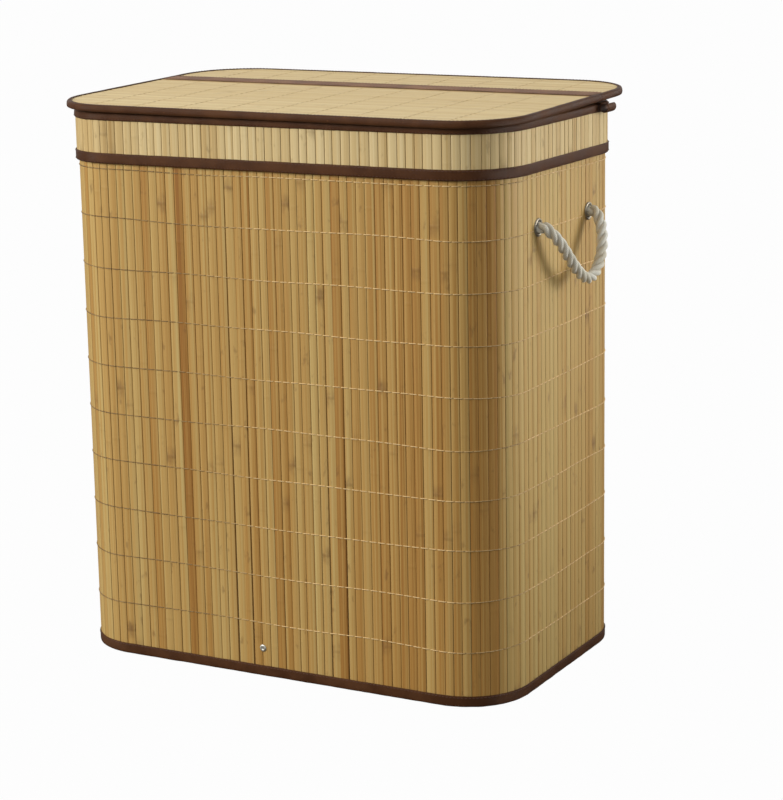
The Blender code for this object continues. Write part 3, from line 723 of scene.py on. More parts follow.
def twisted_rope(name, points, diameter, lay):
    """A closed tube along the points whose three-lobed section turns once every lay."""
    shape = bmesh.new()
    uv = shape.loops.layers.uv.new("rope_place")
    side = Vector((0.0, 0.0, 1.0))
    run = 0.0
    rings = []
    runs = []
    for i, point in enumerate(points):
        before = points[max(i - 1, 0)]
        after = points[min(i + 1, len(points) - 1)]
        ahead = (after - before).normalized()
        side = (side - ahead * side.dot(ahead)).normalized()
        across = ahead.cross(side)
        run += (point - before).length
        turn = 2 * math.pi * run / lay
        ring = []
        for k in range(ROPE_SIDES):
            angle = 2 * math.pi * k / ROPE_SIDES
            reach = diameter / 2 * strand_edge(angle)
            ring.append(shape.verts.new(point + side * reach * math.cos(angle + turn)
                                        + across * reach * math.sin(angle + turn)))
        rings.append(ring)
        runs.append(run)
    for i in range(len(rings) - 1):
        for k in range(ROPE_SIDES):
            after = (k + 1) % ROPE_SIDES
            face = shape.faces.new((rings[i][k], rings[i][after], rings[i + 1][after], rings[i + 1][k]))
            corners = ((k, i), (k + 1, i), (k + 1, i + 1), (k, i + 1))
            for loop, (u, v) in zip(face.loops, corners):
                loop[uv].uv = (u / ROPE_SIDES, runs[v])
    shape.faces.new(reversed(rings[0]))
    shape.faces.new(rings[-1])
    bmesh.ops.recalc_face_normals(shape, faces=shape.faces[:])
    mesh = bpy.data.meshes.new(name)
    shape.to_mesh(mesh)
    shape.free()
    piece = bpy.data.objects.new(name, mesh)
    bpy.context.collection.objects.link(piece)
    smooth(piece, 70)
    return piece


SIDES = {"right": 1, "left": -1}
for side_name, end in SIDES.items():
    line = handle_line(end)
    rope = twisted_rope("rope_handle_" + side_name, line, ROPE_DIAMETER, ROPE_LAY)
    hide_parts("handle_rope_" + side_name)
    wear(rope, rope_cotton)
    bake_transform(rope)
    report(rope)

# %% Knots inside the wall
KNOT_TURNS = 1.6
KNOT_LOOP = 0.0066           # from the knot's middle line to the rope's
KNOT_STEPS = 30
KNOT_SQUEEZE = 0.96          # a tight knot thins the rope
knot_low, knot_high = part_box("rope_knot_right_front")


def knot_line():
    """From the ring inwards along -X, a little over one and a half turns, and a short tail."""
    first = Vector((knot_high.x - WALL_HIGH.x, 0.0, 0.0))
    last = Vector((knot_low.x - WALL_HIGH.x, 0.0, 0.0))
    line = [first.lerp(last, share) for share in (0.0, 0.06, 0.12, 0.18, 0.24)]
    for step in range(KNOT_STEPS + 1):
        share = step / KNOT_STEPS
        reach = KNOT_LOOP * math.sin(math.pi * share) ** 0.5
        angle = 2 * math.pi * KNOT_TURNS * share
        middle = first.lerp(last, 0.34 + 0.40 * share)
        line.append(middle + Vector((0.0, reach * math.cos(angle), reach * math.sin(angle))))
    line += [first.lerp(last, share) for share in (0.84, 0.90, 0.96, 1.0)]
    return line


HOLES = {}
for side_name, end in SIDES.items():
    for along_name, along in (("front", -1), ("rear", 1)):
        spot = Matrix.Translation((end * WALL_WIDTH / 2, along * HANDLE_REACH, HANDLE_HEIGHT))
        turn = Matrix.Identity(4) if end > 0 else Matrix.Rotation(math.pi, 4, "Z")
        HOLES[side_name + "_" + along_name] = spot @ turn

knot = twisted_rope("knot", smooth_line(knot_line(), 2), ROPE_DIAMETER * KNOT_SQUEEZE, ROPE_LAY)
for hole_name, place in HOLES.items():
    tied = copy_of(knot, place)
    tied.name = "knot_" + hole_name
    tied.data.name = tied.name
    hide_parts("rope_knot_" + hole_name)
    wear(tied, rope_cotton)
    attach(tied, "hamper")
remove(knot)
print("knots: 4, each", round((knot_high - knot_low).length, 4), "m corner to corner")

# %% [markdown]
# ## The wall of slats
# Bamboo is split into flat strips a centimetre wide. They stand side by side and thread ties
# them into a mat, so the mat bends round a corner although no slat does. One slat is modelled:
# a block with its long front edges rounded over and its face slightly crowned. Copies of it
# are then set round the outline, with the small differences that split bamboo has.

# %% Walking round the outline
CORNER_RADIUS = 0.0660


def walk(width, depth, radius, distance):
    """Where a distance from the middle of the front leads, round a rounded rectangle."""
    straights = (width - 2 * radius, depth - 2 * radius)
    arc = math.pi / 2 * radius
    left = (distance + straights[0] / 2) % (2 * sum(straights) + 4 * arc)
    place = Vector((-straights[0] / 2, -depth / 2, 0.0))
    for side in range(4):
        heading = side * math.pi / 2
        ahead = Vector((math.cos(heading), math.sin(heading), 0.0))
        inwards = Vector((-ahead.y, ahead.x, 0.0))
        length = straights[side % 2]
        if left <= length:
            return place + ahead * left, heading
        left -= length
        hub = place + ahead * length + inwards * radius
        if left <= arc:
            turn = left / radius
            return hub + ahead * radius * math.sin(turn) - inwards * radius * math.cos(turn), heading + turn
        left -= arc
        place = hub + ahead * radius
    return place, 0.0


def way_round(width, depth, radius):
    """How long that rounded rectangle's outline is."""
    return 2 * (width + depth) - 8 * radius + 2 * math.pi * radius


wall_round = way_round(WALL_WIDTH, WALL_DEPTH, CORNER_RADIUS)
print("once round the wall:", round(wall_round, 4), "m")

# %% One slat
SLAT_PITCH = 0.0098
SLAT_THICKNESS = 0.0016
SLAT_CROWN = 0.00016         # how far the middle of its face stands out
SLAT_ROUNDING = 0.38         # of its thickness, on both front edges
MAP_SHARE = 0.94             # of one unit, so the maps of two slats never touch
SLAT_GAPS = (0.00010, 0.00045)
SLAT_LEAN = 0.0002           # radians, the usual size of each slat's lean
SLAT_TILT = 0.012            # and of its turn about its own length
SLAT_SINK = (-0.00008, 0.00012)
HOLE_DIAMETER = 0.0140       # through the slats behind each metal ring


def make_slat(name, bottom, top, thickness):
    """A slat one pitch wide, facing -Y. Each copy is squeezed to its own width."""
    slat = start("cube", name, size=1, location=(0.0, thickness / 2, (bottom + top) / 2))
    open_up(slat)
    bpy.ops.transform.resize(value=(SLAT_PITCH, thickness, top - bottom))
    pick(slat, "EDGE", lambda e: centre_of(e).y < -thickness / 4 and abs(centre_of(e).x) > SLAT_PITCH / 4)
    bpy.ops.mesh.bevel(offset=thickness * SLAT_ROUNDING, segments=2)
    slice_at(slat.location, (1.0, 0.0, 0.0))
    pick(slat, "VERT", lambda v: abs(v.co.x) < 1e-5 and v.co.y < 0)
    bpy.ops.transform.translate(value=(0.0, -SLAT_CROWN, 0.0))
    for share in (0.25, 0.5, 0.75):
        slice_at((0.0, 0.0, bottom + (top - bottom) * share), (0.0, 0.0, 1.0))
    close_up()
    settle(slat)
    smooth(slat, 50)
    map_slat(slat)
    return slat


def map_slat(slat):
    """Writes on each corner of each face where it lies on the slat: across it, then up it."""
    layer = slat.data.uv_layers[0]
    layer.name = "slat_place"
    corners = [slat.data.vertices[loop.vertex_index].co for loop in slat.data.loops]
    for corner, spot in zip(layer.data, corners):
        corner.uv = (0.5 + MAP_SHARE * spot.x / SLAT_PITCH, spot.z)
    slat.data.uv_layers.new(name="slat_tone")


def mark_slat(slat, number, tone):
    """Says which slat this copy is, and how pale it is, from 0 to 1."""
    count = len(slat.data.loops)
    place = np.zeros(count * 2)
    slat.data.uv_layers["slat_place"].data.foreach_get("uv", place)
    place[0::2] += number
    slat.data.uv_layers["slat_place"].data.foreach_set("uv", place)
    slat.data.uv_layers["slat_tone"].data.foreach_set("uv", [tone, 0.5] * count)


wall_slat = make_slat("wall_slat", WALL_LOW.z, WALL_HIGH.z, SLAT_THICKNESS)
report(wall_slat)

# %% Slats round the wall
# A few slats are darker than chance would make them: the three at 0.232 to 0.252 m round the wall, on the
# right front corner, are painted shade of that corner, and the others are dark slats. Two gaps open towards
# the foot.
DARK_SLATS_AND_CORNER_SHADE = {-0.1085: 0.14, -0.1500: 0.38, 0.1640: 0.30, 0.2320: 0.34, 0.2420: 0.40, 0.2520: 0.30}
OPEN_GAPS = (-0.0340, 0.0730)
OPEN_GAP = 0.0011            # how far the foot of each neighbour leans away
RIGHT_END = wall_round / 4   # the middle of the right end, along the way round
PALE_END = 0.75              # how pale its slats are
OTHER_WALLS = 0.56
PALE_FADE = 0.050            # over this distance the end's slats take on the other walls' tone


def slat_tone(distance, chance):
    """How pale the slat at this distance round the wall is."""
    # the three entries on the right front corner are painted corner shade, the rest are dark slats
    for spot, tone in DARK_SLATS_AND_CORNER_SHADE.items():
        if abs(distance - spot) < SLAT_PITCH / 2:
            return tone
    drift = noise.noise(Vector((distance * 9.0, 0.4, 0.0)))
    inside_end = (WALL_DEPTH / 2 - abs(distance - RIGHT_END)) / PALE_FADE
    middle = OTHER_WALLS + (PALE_END - OTHER_WALLS) * min(1.0, max(0.0, inside_end))
    return min(1.0, max(0.0, middle + 0.18 * drift + chance.gauss(0.0, 0.10)))


def lean_away(distance):
    """The sideways lean of a slat's foot beside an open gap."""
    for gap in OPEN_GAPS:
        if 0 < distance - gap < SLAT_PITCH:
            return OPEN_GAP
        if 0 < gap - distance < SLAT_PITCH:
            return -OPEN_GAP
    return 0.0


def drill(slat, place, holes):
    """Cuts the handles' holes through a slat that stands behind a ring."""
    if abs(abs(place.y) - HANDLE_REACH) < (SLAT_PITCH + HOLE_DIAMETER) / 2 and abs(place.x) > abs(place.y):
        finish_with(slat, "BOOLEAN", operation="DIFFERENCE", solver="EXACT", object=holes)


def slats_round(model, name, width, depth, radius, top, gaps, chance, tones, holes=None):
    """Copies of a slat all the way round an outline, as one mesh."""
    total = way_round(width, depth, radius)
    number = round(total / SLAT_PITCH)
    shares = [chance.uniform(0.88, 1.12) for _ in range(number)]
    scale = total / sum(shares)
    copies = []
    distance = -total / 2
    top_end = Matrix.Translation((0.0, 0.0, top))
    for i, share in enumerate(shares):
        pitch = share * scale
        middle = distance + pitch / 2
        distance += pitch
        place, heading = walk(width, depth, radius, middle)
        lean = math.atan2(lean_away(middle), top) + chance.gauss(0.0, SLAT_LEAN)
        tilt = Matrix.Rotation(chance.gauss(0.0, SLAT_TILT), 4, "Z")
        hang = top_end @ Matrix.Rotation(lean, 4, "Y") @ top_end.inverted()
        narrow = Matrix.Diagonal(((pitch - chance.uniform(*gaps)) / SLAT_PITCH, 1.0, 1.0, 1.0))
        sink = Matrix.Translation((0.0, chance.uniform(*SLAT_SINK), 0.0))
        turn = Matrix.Translation(place) @ Matrix.Rotation(heading, 4, "Z")
        twin = copy_of(model, turn @ sink @ hang @ tilt @ narrow)
        mark_slat(twin, i, tones(middle, chance))
        if holes:
            drill(twin, place, holes)
        copies.append(twin)
    remove(model)
    return join(copies, name)


def make_holes():
    """Two long rods along X, one through both front rings and one through both rear rings."""
    rods = []
    for y in (-HANDLE_REACH, HANDLE_REACH):
        rods.append(start("cylinder", "holes", vertices=32, radius=HOLE_DIAMETER / 2,
                          depth=WALL_WIDTH + 0.04, location=(0.0, y, HANDLE_HEIGHT),
                          rotation=(0.0, math.pi / 2, 0.0)))
    return join(rods, "holes")


hole_rods = make_holes()
wall_slats = slats_round(wall_slat, "wall_slats", WALL_WIDTH, WALL_DEPTH, CORNER_RADIUS,
                         WALL_HIGH.z, SLAT_GAPS, random.Random(7), slat_tone, hole_rods)
remove(hole_rods)
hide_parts("body_mat")
wear(wall_slats, bamboo)
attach(wall_slats, "hamper")
report(wall_slats)

# %% Slats round the collar
COLLAR_LOW, COLLAR_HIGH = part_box("collar_mat")
COLLAR_OUT = (COLLAR_HIGH.x - COLLAR_LOW.x - WALL_WIDTH) / 2


def collar_tone(distance, chance):
    """How pale the collar's slat at this distance is."""
    drift = noise.noise(Vector((distance * 12.0, 5.4, 0.0)))
    return min(1.0, max(0.0, 0.60 + 0.22 * drift + chance.gauss(0.0, 0.13)))


def collar_slats_of(chance):
    slat = make_slat("collar_slat", COLLAR_LOW.z, COLLAR_HIGH.z, SLAT_THICKNESS)
    return slats_round(slat, "collar_slats", WALL_WIDTH + 2 * COLLAR_OUT, WALL_DEPTH + 2 * COLLAR_OUT,
                       CORNER_RADIUS + COLLAR_OUT, COLLAR_HIGH.z, SLAT_GAPS, chance, collar_tone)


collar_slats = collar_slats_of(random.Random(19))
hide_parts("collar_mat")
wear(collar_slats, collar_bamboo)
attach(collar_slats, "hamper")
report(collar_slats)

# %% [markdown]
# ## Thread that ties the slats
# Ten rows of thread run round the wall. Seen from outside, each row is a line of short dashes:
# the thread lies over a slat, then dips into the gap beside it. One dash is a thin rod whose
# ends are pushed inwards. A row is a dash for each slat, and every row strays a little.

# %% One row of thread, and its copies
THREAD_RADIUS = 0.00056
FIRST_ROW = 0.0585
ROW_STEP = 0.0525
ROWS = 10
ROW_STRAY = 0.0022
RING_COVER = (0.013, 0.014)  # a ring hides the thread this far beside and above its middle


def make_dash(name, length, radius, dip):
    """A thin rod along X that lies on a slat's face at Y = 0 and dips at both ends."""
    dash = start("cylinder", name, vertices=6, radius=radius, depth=length,
                 rotation=(0.0, math.pi / 2, 0.0), end_fill_type="TRIFAN")
    settle(dash)
    open_up(dash)
    for share in (-0.3, 0.0, 0.3):
        slice_at((share * length, 0.0, 0.0), (1.0, 0.0, 0.0))
    pick(dash, "VERT", lambda v: abs(v.co.x) > 0.45 * length)
    bpy.ops.transform.translate(value=(0.0, dip, 0.0))
    close_up()
    smooth(dash, 80)
    return dash


def dashes_round(model, name, width, depth, radius, height, spacing, skip=None):
    """Copies of a dash all the way round an outline at one height, as one mesh."""
    total = way_round(width, depth, radius)
    number = round(total / spacing)
    copies = []
    for i in range(number):
        place, heading = walk(width, depth, radius, total * i / number)
        place.z = height
        if skip is None or not skip(place):
            copies.append(copy_of(model, Matrix.Translation(place) @ Matrix.Rotation(heading, 4, "Z")))
    return join(copies, name)


def by_a_ring(place):
    """True where a metal ring covers the wall."""
    beside = abs(abs(place.y) - HANDLE_REACH)
    above = abs(place.z - HANDLE_HEIGHT)
    return beside < RING_COVER[0] and above < RING_COVER[1]


def stray(piece, amount, seed):
    """Moves a row up and down a little along its way round."""
    count = len(piece.data.vertices)
    spots = np.zeros(count * 3)
    piece.data.vertices.foreach_get("co", spots)
    spots = spots.reshape(-1, 3)
    for spot in spots:
        spot[2] += amount * noise.noise(Vector((spot[0] * 9.0, spot[1] * 9.0, seed)))
    piece.data.vertices.foreach_set("co", spots.ravel())


def thread_rows():
    """All the rows round the wall, as one mesh."""
    dash = make_dash("dash", SLAT_PITCH * 0.98, THREAD_RADIUS, 0.0008)
    rows = []
    for i in range(ROWS):
        row = dashes_round(dash, "thread_row", WALL_WIDTH + THREAD_RADIUS, WALL_DEPTH + THREAD_RADIUS,
                           CORNER_RADIUS, FIRST_ROW + ROW_STEP * i, SLAT_PITCH, by_a_ring)
        stray(row, ROW_STRAY, i * 3.7)
        rows.append(row)
    remove(dash)
    return join(rows, "wall_thread")


wall_thread = thread_rows()
wear(wall_thread, thread)
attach(wall_thread, "hamper")
report(wall_thread)

# %% [markdown]
# ## Cloth tape on every edge
# Raw slat ends splinter, so a folded tape covers them. Its section is drawn as a line of
# points, carried along each side by extruding and round each corner by spinning, and then
# given its thickness. Spinning keeps the section square to its path, which scaling wouldn't.

# %% A tape round a rounded rectangle
TAPE_THICKNESS = 0.0012
CORNER_FLATS = 12


def draw_section(name, points):
    """A line of joined points, made from one point by extruding it."""
    piece = start("plane", name, size=0.001)
    open_up(piece)
    bpy.ops.mesh.merge(type="CENTER")
    bpy.ops.mesh.select_mode(type="VERT")
    bpy.ops.transform.translate(value=points[0])
    for before, after in zip(points, points[1:]):
        move = Vector(after) - Vector(before)
        bpy.ops.mesh.extrude_vertices_move(TRANSFORM_OT_translate={"value": move})
    bpy.ops.mesh.select_all(action="SELECT")
    return piece


def carry_round(width, depth, radius, spacing):
    """Carries the section being edited round a rounded rectangle and closes the ring."""
    straights = (width - 2 * radius, depth - 2 * radius)
    hub = Vector((-straights[0] / 2, -straights[1] / 2, 0.0))
    for side in range(4):
        heading = side * math.pi / 2
        ahead = Vector((math.cos(heading), math.sin(heading), 0.0))
        length = straights[side % 2]
        steps = round(length / spacing)
        for _ in range(steps):
            extrude(ahead * length / steps)
        hub = hub + ahead * length
        bpy.ops.mesh.spin(steps=CORNER_FLATS, angle=-math.pi / 2, center=hub, axis=(0.0, 0.0, 1.0))
    face_outwards(weld=True)


def tape_round(name, section, width, depth, radius, spacing=0.010, thickness=TAPE_THICKNESS):
    """A soft tape: section is (outwards, height) pairs along the middle of its thickness."""
    start_x = -(width - 2 * radius) / 2
    points = [(start_x, -depth / 2 - out, height) for out, height in section]
    piece = draw_section(name, points)
    carry_round(width, depth, radius, spacing)
    close_up()
    finish_with(piece, "SOLIDIFY", thickness=thickness, offset=0.0, use_even_offset=True)
    round_off(piece)
    return piece


def pucker(piece, size, amount):
    """Small soft waves, as where stitches draw cloth in."""
    clouds = bpy.data.textures.new("clouds", "CLOUDS")
    clouds.noise_scale = size
    clouds.noise_depth = 1
    finish_with(piece, "DISPLACE", texture=clouds, strength=amount, mid_level=0.5,
                texture_coords="LOCAL", direction="NORMAL")


# %% Tape under the foot
foot_low, foot_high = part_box("bottom_binding")
FOOT_OUT = (foot_high.x - foot_low.x - WALL_WIDTH) / 2
HALF_TAPE = TAPE_THICKNESS / 2
TAPE_INSIDE = 0.0040         # the tape's inner face, inside the wall's outer one


def foot_section():
    """Down the outside, under the slats' ends and up the inside."""
    outer = FOOT_OUT - HALF_TAPE
    inner = -TAPE_INSIDE + HALF_TAPE
    top = foot_high.z
    return [(outer, top), (outer, top * 0.6), (outer, HALF_TAPE * 2.2), (outer - HALF_TAPE, HALF_TAPE),
            (inner + HALF_TAPE, HALF_TAPE), (inner, HALF_TAPE * 2.2), (inner, top)]


bottom_tape = tape_round("bottom_tape", foot_section(), WALL_WIDTH, WALL_DEPTH, CORNER_RADIUS)
pucker(bottom_tape, 0.012, 0.0005)
smooth(bottom_tape, 60)
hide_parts("bottom_binding")
wear(bottom_tape, tape)
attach(bottom_tape, "hamper")
report(bottom_tape)

# %% Tapes above and below the collar
under_low, under_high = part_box("collar_lower_binding")
rim_low, rim_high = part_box("collar_upper_binding")
TAPE_OUT = (rim_high.x - rim_low.x - WALL_WIDTH) / 2
INNER_LEG = 0.0120
OUTER_LEG_LOW = rim_low.z + INNER_LEG - 0.0085
print("the rim tape's outer leg starts", round(OUTER_LEG_LOW, 4), "m up")


def under_section():
    """A step out from the wall and up over the collar's lower edge."""
    outer = TAPE_OUT - HALF_TAPE
    low = under_low.z + HALF_TAPE
    high = under_high.z
    return [(0.0012, low), (outer - HALF_TAPE, low), (outer, low + HALF_TAPE),
            (outer, (low + high) / 2), (outer, high)]


def rim_section():
    """Up the outside, over the slats' ends and down the inside."""
    outer = TAPE_OUT - HALF_TAPE
    inner = -TAPE_INSIDE + HALF_TAPE
    top = rim_high.z - HALF_TAPE
    return [(outer, OUTER_LEG_LOW), (outer, top - 0.003), (outer - HALF_TAPE, top),
            (0.0, top), (inner + HALF_TAPE, top), (inner, top - 0.002), (inner, rim_high.z - INNER_LEG)]


lower_tape = tape_round("collar_lower_tape", under_section(), WALL_WIDTH, WALL_DEPTH, CORNER_RADIUS)
upper_tape = tape_round("collar_upper_tape", rim_section(), WALL_WIDTH, WALL_DEPTH, CORNER_RADIUS)
for piece, node in ((lower_tape, "collar_lower_binding"), (upper_tape, "collar_upper_binding")):
    pucker(piece, 0.015, 0.0005)
    smooth(piece, 60)
    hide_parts(node)
    wear(piece, tape)
    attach(piece, "hamper")
    report(piece)

# %% [markdown]
# ## The lid
# The lid is two stiff panels covered with slats that run from end to end. Both panels have
# one outline, cut in two along the hinge. It lies a little lower at the front, so its pieces
# are modelled flat, in the lid's own frame, and tilted once they are finished.

# %% How the lid lies
LID_PITCH = 0.0260           # radians, rear edge up
LID_ROLL = 0.0065            # radians, left end up
LID_WIDTH = 0.5390
LID_DEPTH = 0.3541
LID_SHIFT = 0.0090           # the lid's middle, behind the hamper's
LID_RADIUS = 0.0740
LID_MAT_BOTTOM = 0.0029
LID_MAT_TOP = 0.0041
LID_TOP = 0.0050
LID_LIP = 0.0026             # how far the rolled edge hangs under the lid
LID_FLANGE = 0.0058
HINGE_Y = 0.07305
HINGE_TAPE_WIDTH = 0.0300
HINGE_GAP = 0.0006
CLEARANCE = 0.0003


def lid_lie():
    """The lid's own frame: its underside rests on the rim at the front right."""
    slope = Matrix.Rotation(LID_ROLL, 4, "Y") @ Matrix.Rotation(LID_PITCH, 4, "X")
    contact = slope @ Vector((WALL_WIDTH / 2 + TAPE_OUT, -WALL_DEPTH / 2 - TAPE_OUT, 0.0))
    return Matrix.Translation((0.0, 0.0, rim_high.z + CLEARANCE - contact.z)) @ slope


LID_PLACE = lid_lie()
print("lid: its middle is", round(LID_PLACE.translation.z, 4), "m up")

# %% Slats of both panels
LID_MAT_INSET = 0.0029       # from the lid's edge to the slats' ends
LID_GAPS = (0.0001, 0.0003)
LID_SLAT_SINK = 0.00012
LID_SLAT_TWIST = 0.0006      # radians


def keep_panel(front):
    """In edit mode, cuts the lid's outline at the hinge and keeps the front or the rear part."""
    cut = HINGE_Y + (-HINGE_GAP if front else HINGE_GAP) / 2
    slice_at((0.0, cut, 0.0), (0.0, 1.0, 0.0), use_fill=True, clear_outer=front, clear_inner=not front)


def lid_slab(name, inset, bottom, top, front):
    """A solid with one panel's outline, to cut the slats to shape."""
    slab = start("plane", name, size=1, location=(0.0, LID_SHIFT, bottom))
    open_up(slab)
    bpy.ops.transform.resize(value=(LID_WIDTH - 2 * inset, LID_DEPTH - 2 * inset, 1.0))
    bpy.ops.mesh.bevel(offset=LID_RADIUS - inset, segments=16, affect="VERTICES")
    bpy.ops.mesh.select_all(action="SELECT")
    extrude((0.0, 0.0, top - bottom))
    keep_panel(front)
    face_outwards()
    close_up()
    settle(slab)
    return slab


def lid_tone(chance):
    """How pale the next slat of the lid is."""
    return min(1.0, max(0.0, 0.60 + chance.gauss(0.0, 0.14)))


def lid_slats(name, front, chance):
    """Slats along X from the hinge to the panel's edge, cut to its outline."""
    thickness = LID_MAT_TOP - LID_MAT_BOTTOM
    slab = lid_slab("slab", LID_MAT_INSET, -0.01, 0.02, front)
    slat = make_slat("lid_slat", -LID_WIDTH / 2, LID_WIDTH / 2, thickness)
    lay_down = Matrix.Rotation(-math.pi / 2, 4, "Y") @ Matrix.Rotation(math.pi / 2, 4, "Z")
    near = HINGE_Y - HINGE_GAP / 2 if front else LID_SHIFT + LID_DEPTH / 2
    far = LID_SHIFT - LID_DEPTH / 2 if front else HINGE_Y + HINGE_GAP / 2
    number = round((near - far) / SLAT_PITCH)
    pitch = (near - far) / number
    copies = []
    for i in range(number):
        y = far + pitch * (i + 0.5)
        height = LID_MAT_TOP - SLAT_CROWN + chance.uniform(-LID_SLAT_SINK, 0.0)
        narrow = Matrix.Diagonal(((pitch - chance.uniform(*LID_GAPS)) / SLAT_PITCH, 1.0, 1.0, 1.0))
        twist = Matrix.Rotation(chance.gauss(0.0, LID_SLAT_TWIST), 4, "Z")
        twin = copy_of(slat, Matrix.Translation((0.0, y, height)) @ twist @ lay_down @ narrow)
        mark_slat(twin, i, lid_tone(chance))
        finish_with(twin, "BOOLEAN", operation="INTERSECT", solver="EXACT", object=slab)
        copies.append(twin)
    remove(slat)
    remove(slab)
    mat = join(copies, name)
    mat.data.transform(LID_PLACE)
    return mat


LID_PANELS = (("front", "lid_flap", True), ("rear", "hamper", False))
LID_SEEDS = {"front": 31, "rear": 43}
for panel, body, is_front in LID_PANELS:
    mat = lid_slats("lid_" + panel + "_slats", is_front, random.Random(LID_SEEDS[panel]))
    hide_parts("lid_" + panel + "_mat")
    wear(mat, lid_bamboo)
    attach(mat, body)
    report(mat)

# %% Thread across both panels
LID_THREAD_STEP = 0.0520
LID_THREAD_RADIUS = 0.00020
LID_THREAD_STRAY = 0.0012
LID_THREAD_ROWS = range(-4, 5)   # counted from the middle


def lid_thread(name, front):
    """Rows of dashes from front to back, one dash to a slat, kept off the tapes."""
    dash = make_dash("dash", SLAT_PITCH * 0.98, LID_THREAD_RADIUS, 0.0006)
    dash.data.transform(Matrix.Rotation(-math.pi / 2, 4, "X"))
    near = HINGE_Y - HINGE_TAPE_WIDTH / 2 if front else LID_SHIFT + LID_DEPTH / 2 - LID_FLANGE
    far = LID_SHIFT - LID_DEPTH / 2 + LID_FLANGE if front else HINGE_Y + HINGE_TAPE_WIDTH / 2
    steps = int((near - far) / SLAT_PITCH)
    along_y = Matrix.Rotation(math.pi / 2, 4, "Z")
    copies = []
    for row in LID_THREAD_ROWS:
        for step in range(steps):
            sway = noise.noise(Vector((row * 2.3, step * 0.31, 0.0)))
            x = row * LID_THREAD_STEP + LID_THREAD_STRAY * sway
            spot = Vector((x, far + SLAT_PITCH * (step + 0.5), LID_MAT_TOP))
            if not in_lid_corner(spot):
                copies.append(copy_of(dash, Matrix.Translation(spot) @ along_y))
    remove(dash)
    rows = join(copies, name)
    rows.data.transform(LID_PLACE)
    return rows


def in_lid_corner(spot):
    """True outside the lid's rounded corners, or under the tape there."""
    past_x = abs(spot.x) - (LID_WIDTH / 2 - LID_RADIUS)
    past_y = abs(spot.y - LID_SHIFT) - (LID_DEPTH / 2 - LID_RADIUS)
    reach = LID_RADIUS - LID_FLANGE - SLAT_PITCH / 2
    return past_x > 0 and past_y > 0 and math.hypot(past_x, past_y) > reach


for panel, body, is_front in LID_PANELS:
    rows = lid_thread("lid_" + panel + "_thread", is_front)
    wear(rows, pale_thread)
    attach(rows, body)
    report(rows)

# %% Tape round both panels
LID_TAPE_THICKNESS = 0.0008


def lid_edge_section():
    """From under the lid round its rolled edge and onto its top."""
    half = LID_TAPE_THICKNESS / 2
    return [(-0.0026, -LID_LIP + 0.0006), (-0.0013, -LID_LIP + half), (-half, -0.0012),
            (-half, 0.0022), (-0.0014, LID_TOP - half * 1.4), (-0.0034, LID_TOP - half),
            (-LID_FLANGE, LID_TOP - half)]


def lid_edge(name, front):
    """One panel's part of the tape round the lid."""
    piece = tape_round(name, lid_edge_section(), LID_WIDTH, LID_DEPTH, LID_RADIUS,
                       thickness=LID_TAPE_THICKNESS)
    piece.data.transform(Matrix.Translation((0.0, LID_SHIFT, 0.0)))
    pucker(piece, 0.014, 0.0005)
    open_up(piece)
    keep_panel(front)
    close_up()
    smooth(piece, 60)
    piece.data.transform(LID_PLACE)
    return piece


for panel, body, is_front in LID_PANELS:
    edge = lid_edge("lid_" + panel + "_tape", is_front)
    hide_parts("lid_" + panel + "_binding")
    wear(edge, tape)
    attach(edge, body)
    report(edge)

# %% The hinge tape
# One strip lies over both panels, with close lines across its middle, along the fold.
HINGE_BEND = 0.0040          # how far each side of the fold the close lines reach
HINGE_STEPS = 52             # along the hinge
HINGE_TAPE_THICKNESS = 0.0009


def make_hinge_tape():
    """A strip across the lid, with close lines along the fold."""
    length = LID_WIDTH - 2 * LID_FLANGE - 2 * CLEARANCE
    strip = start("plane", "hinge_tape", size=1, location=(0.0, HINGE_Y, LID_TOP - 0.0003))
    open_up(strip)
    bpy.ops.transform.resize(value=(length, HINGE_TAPE_WIDTH, 1.0))
    for y in [-0.011, -0.007] + [HINGE_BEND * step / 4 for step in range(-4, 5)] + [0.007, 0.011]:
        slice_at((0.0, HINGE_Y + y, 0.0), (0.0, 1.0, 0.0))
    for step in range(1, HINGE_STEPS):
        slice_at((-length / 2 + length * step / HINGE_STEPS, 0.0, 0.0), (1.0, 0.0, 0.0))
    close_up()
    settle(strip)
    finish_with(strip, "SOLIDIFY", thickness=HINGE_TAPE_THICKNESS, offset=0.0)
    round_off(strip)
    pucker(strip, 0.016, 0.0004)
    smooth(strip, 60)
    strip.data.transform(LID_PLACE)
    return strip


hinge_tape = make_hinge_tape()
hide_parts("hinge_tape_rear", "hinge_tape_front")
wear(hinge_tape, hinge_cloth)
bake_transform(hinge_tape)
report(hinge_tape)

# %% [markdown]
# ## Loops, rings and rivet
# A short loop of tape at each end of the lid ties the rear panel to the rim. Metal rings line
# the rope's holes, and a small rivet sits low on the front. Round metal is turned: its section
# is drawn once and spun about the hole's axis.

# %% Tape loops
LOOP_RADIUS = 0.0050
LOOP_LENGTH = 0.0220
LOOP_BACK = 0.0170
LOOP_TAIL = 0.0080
LOOP_THICKNESS = 0.0011


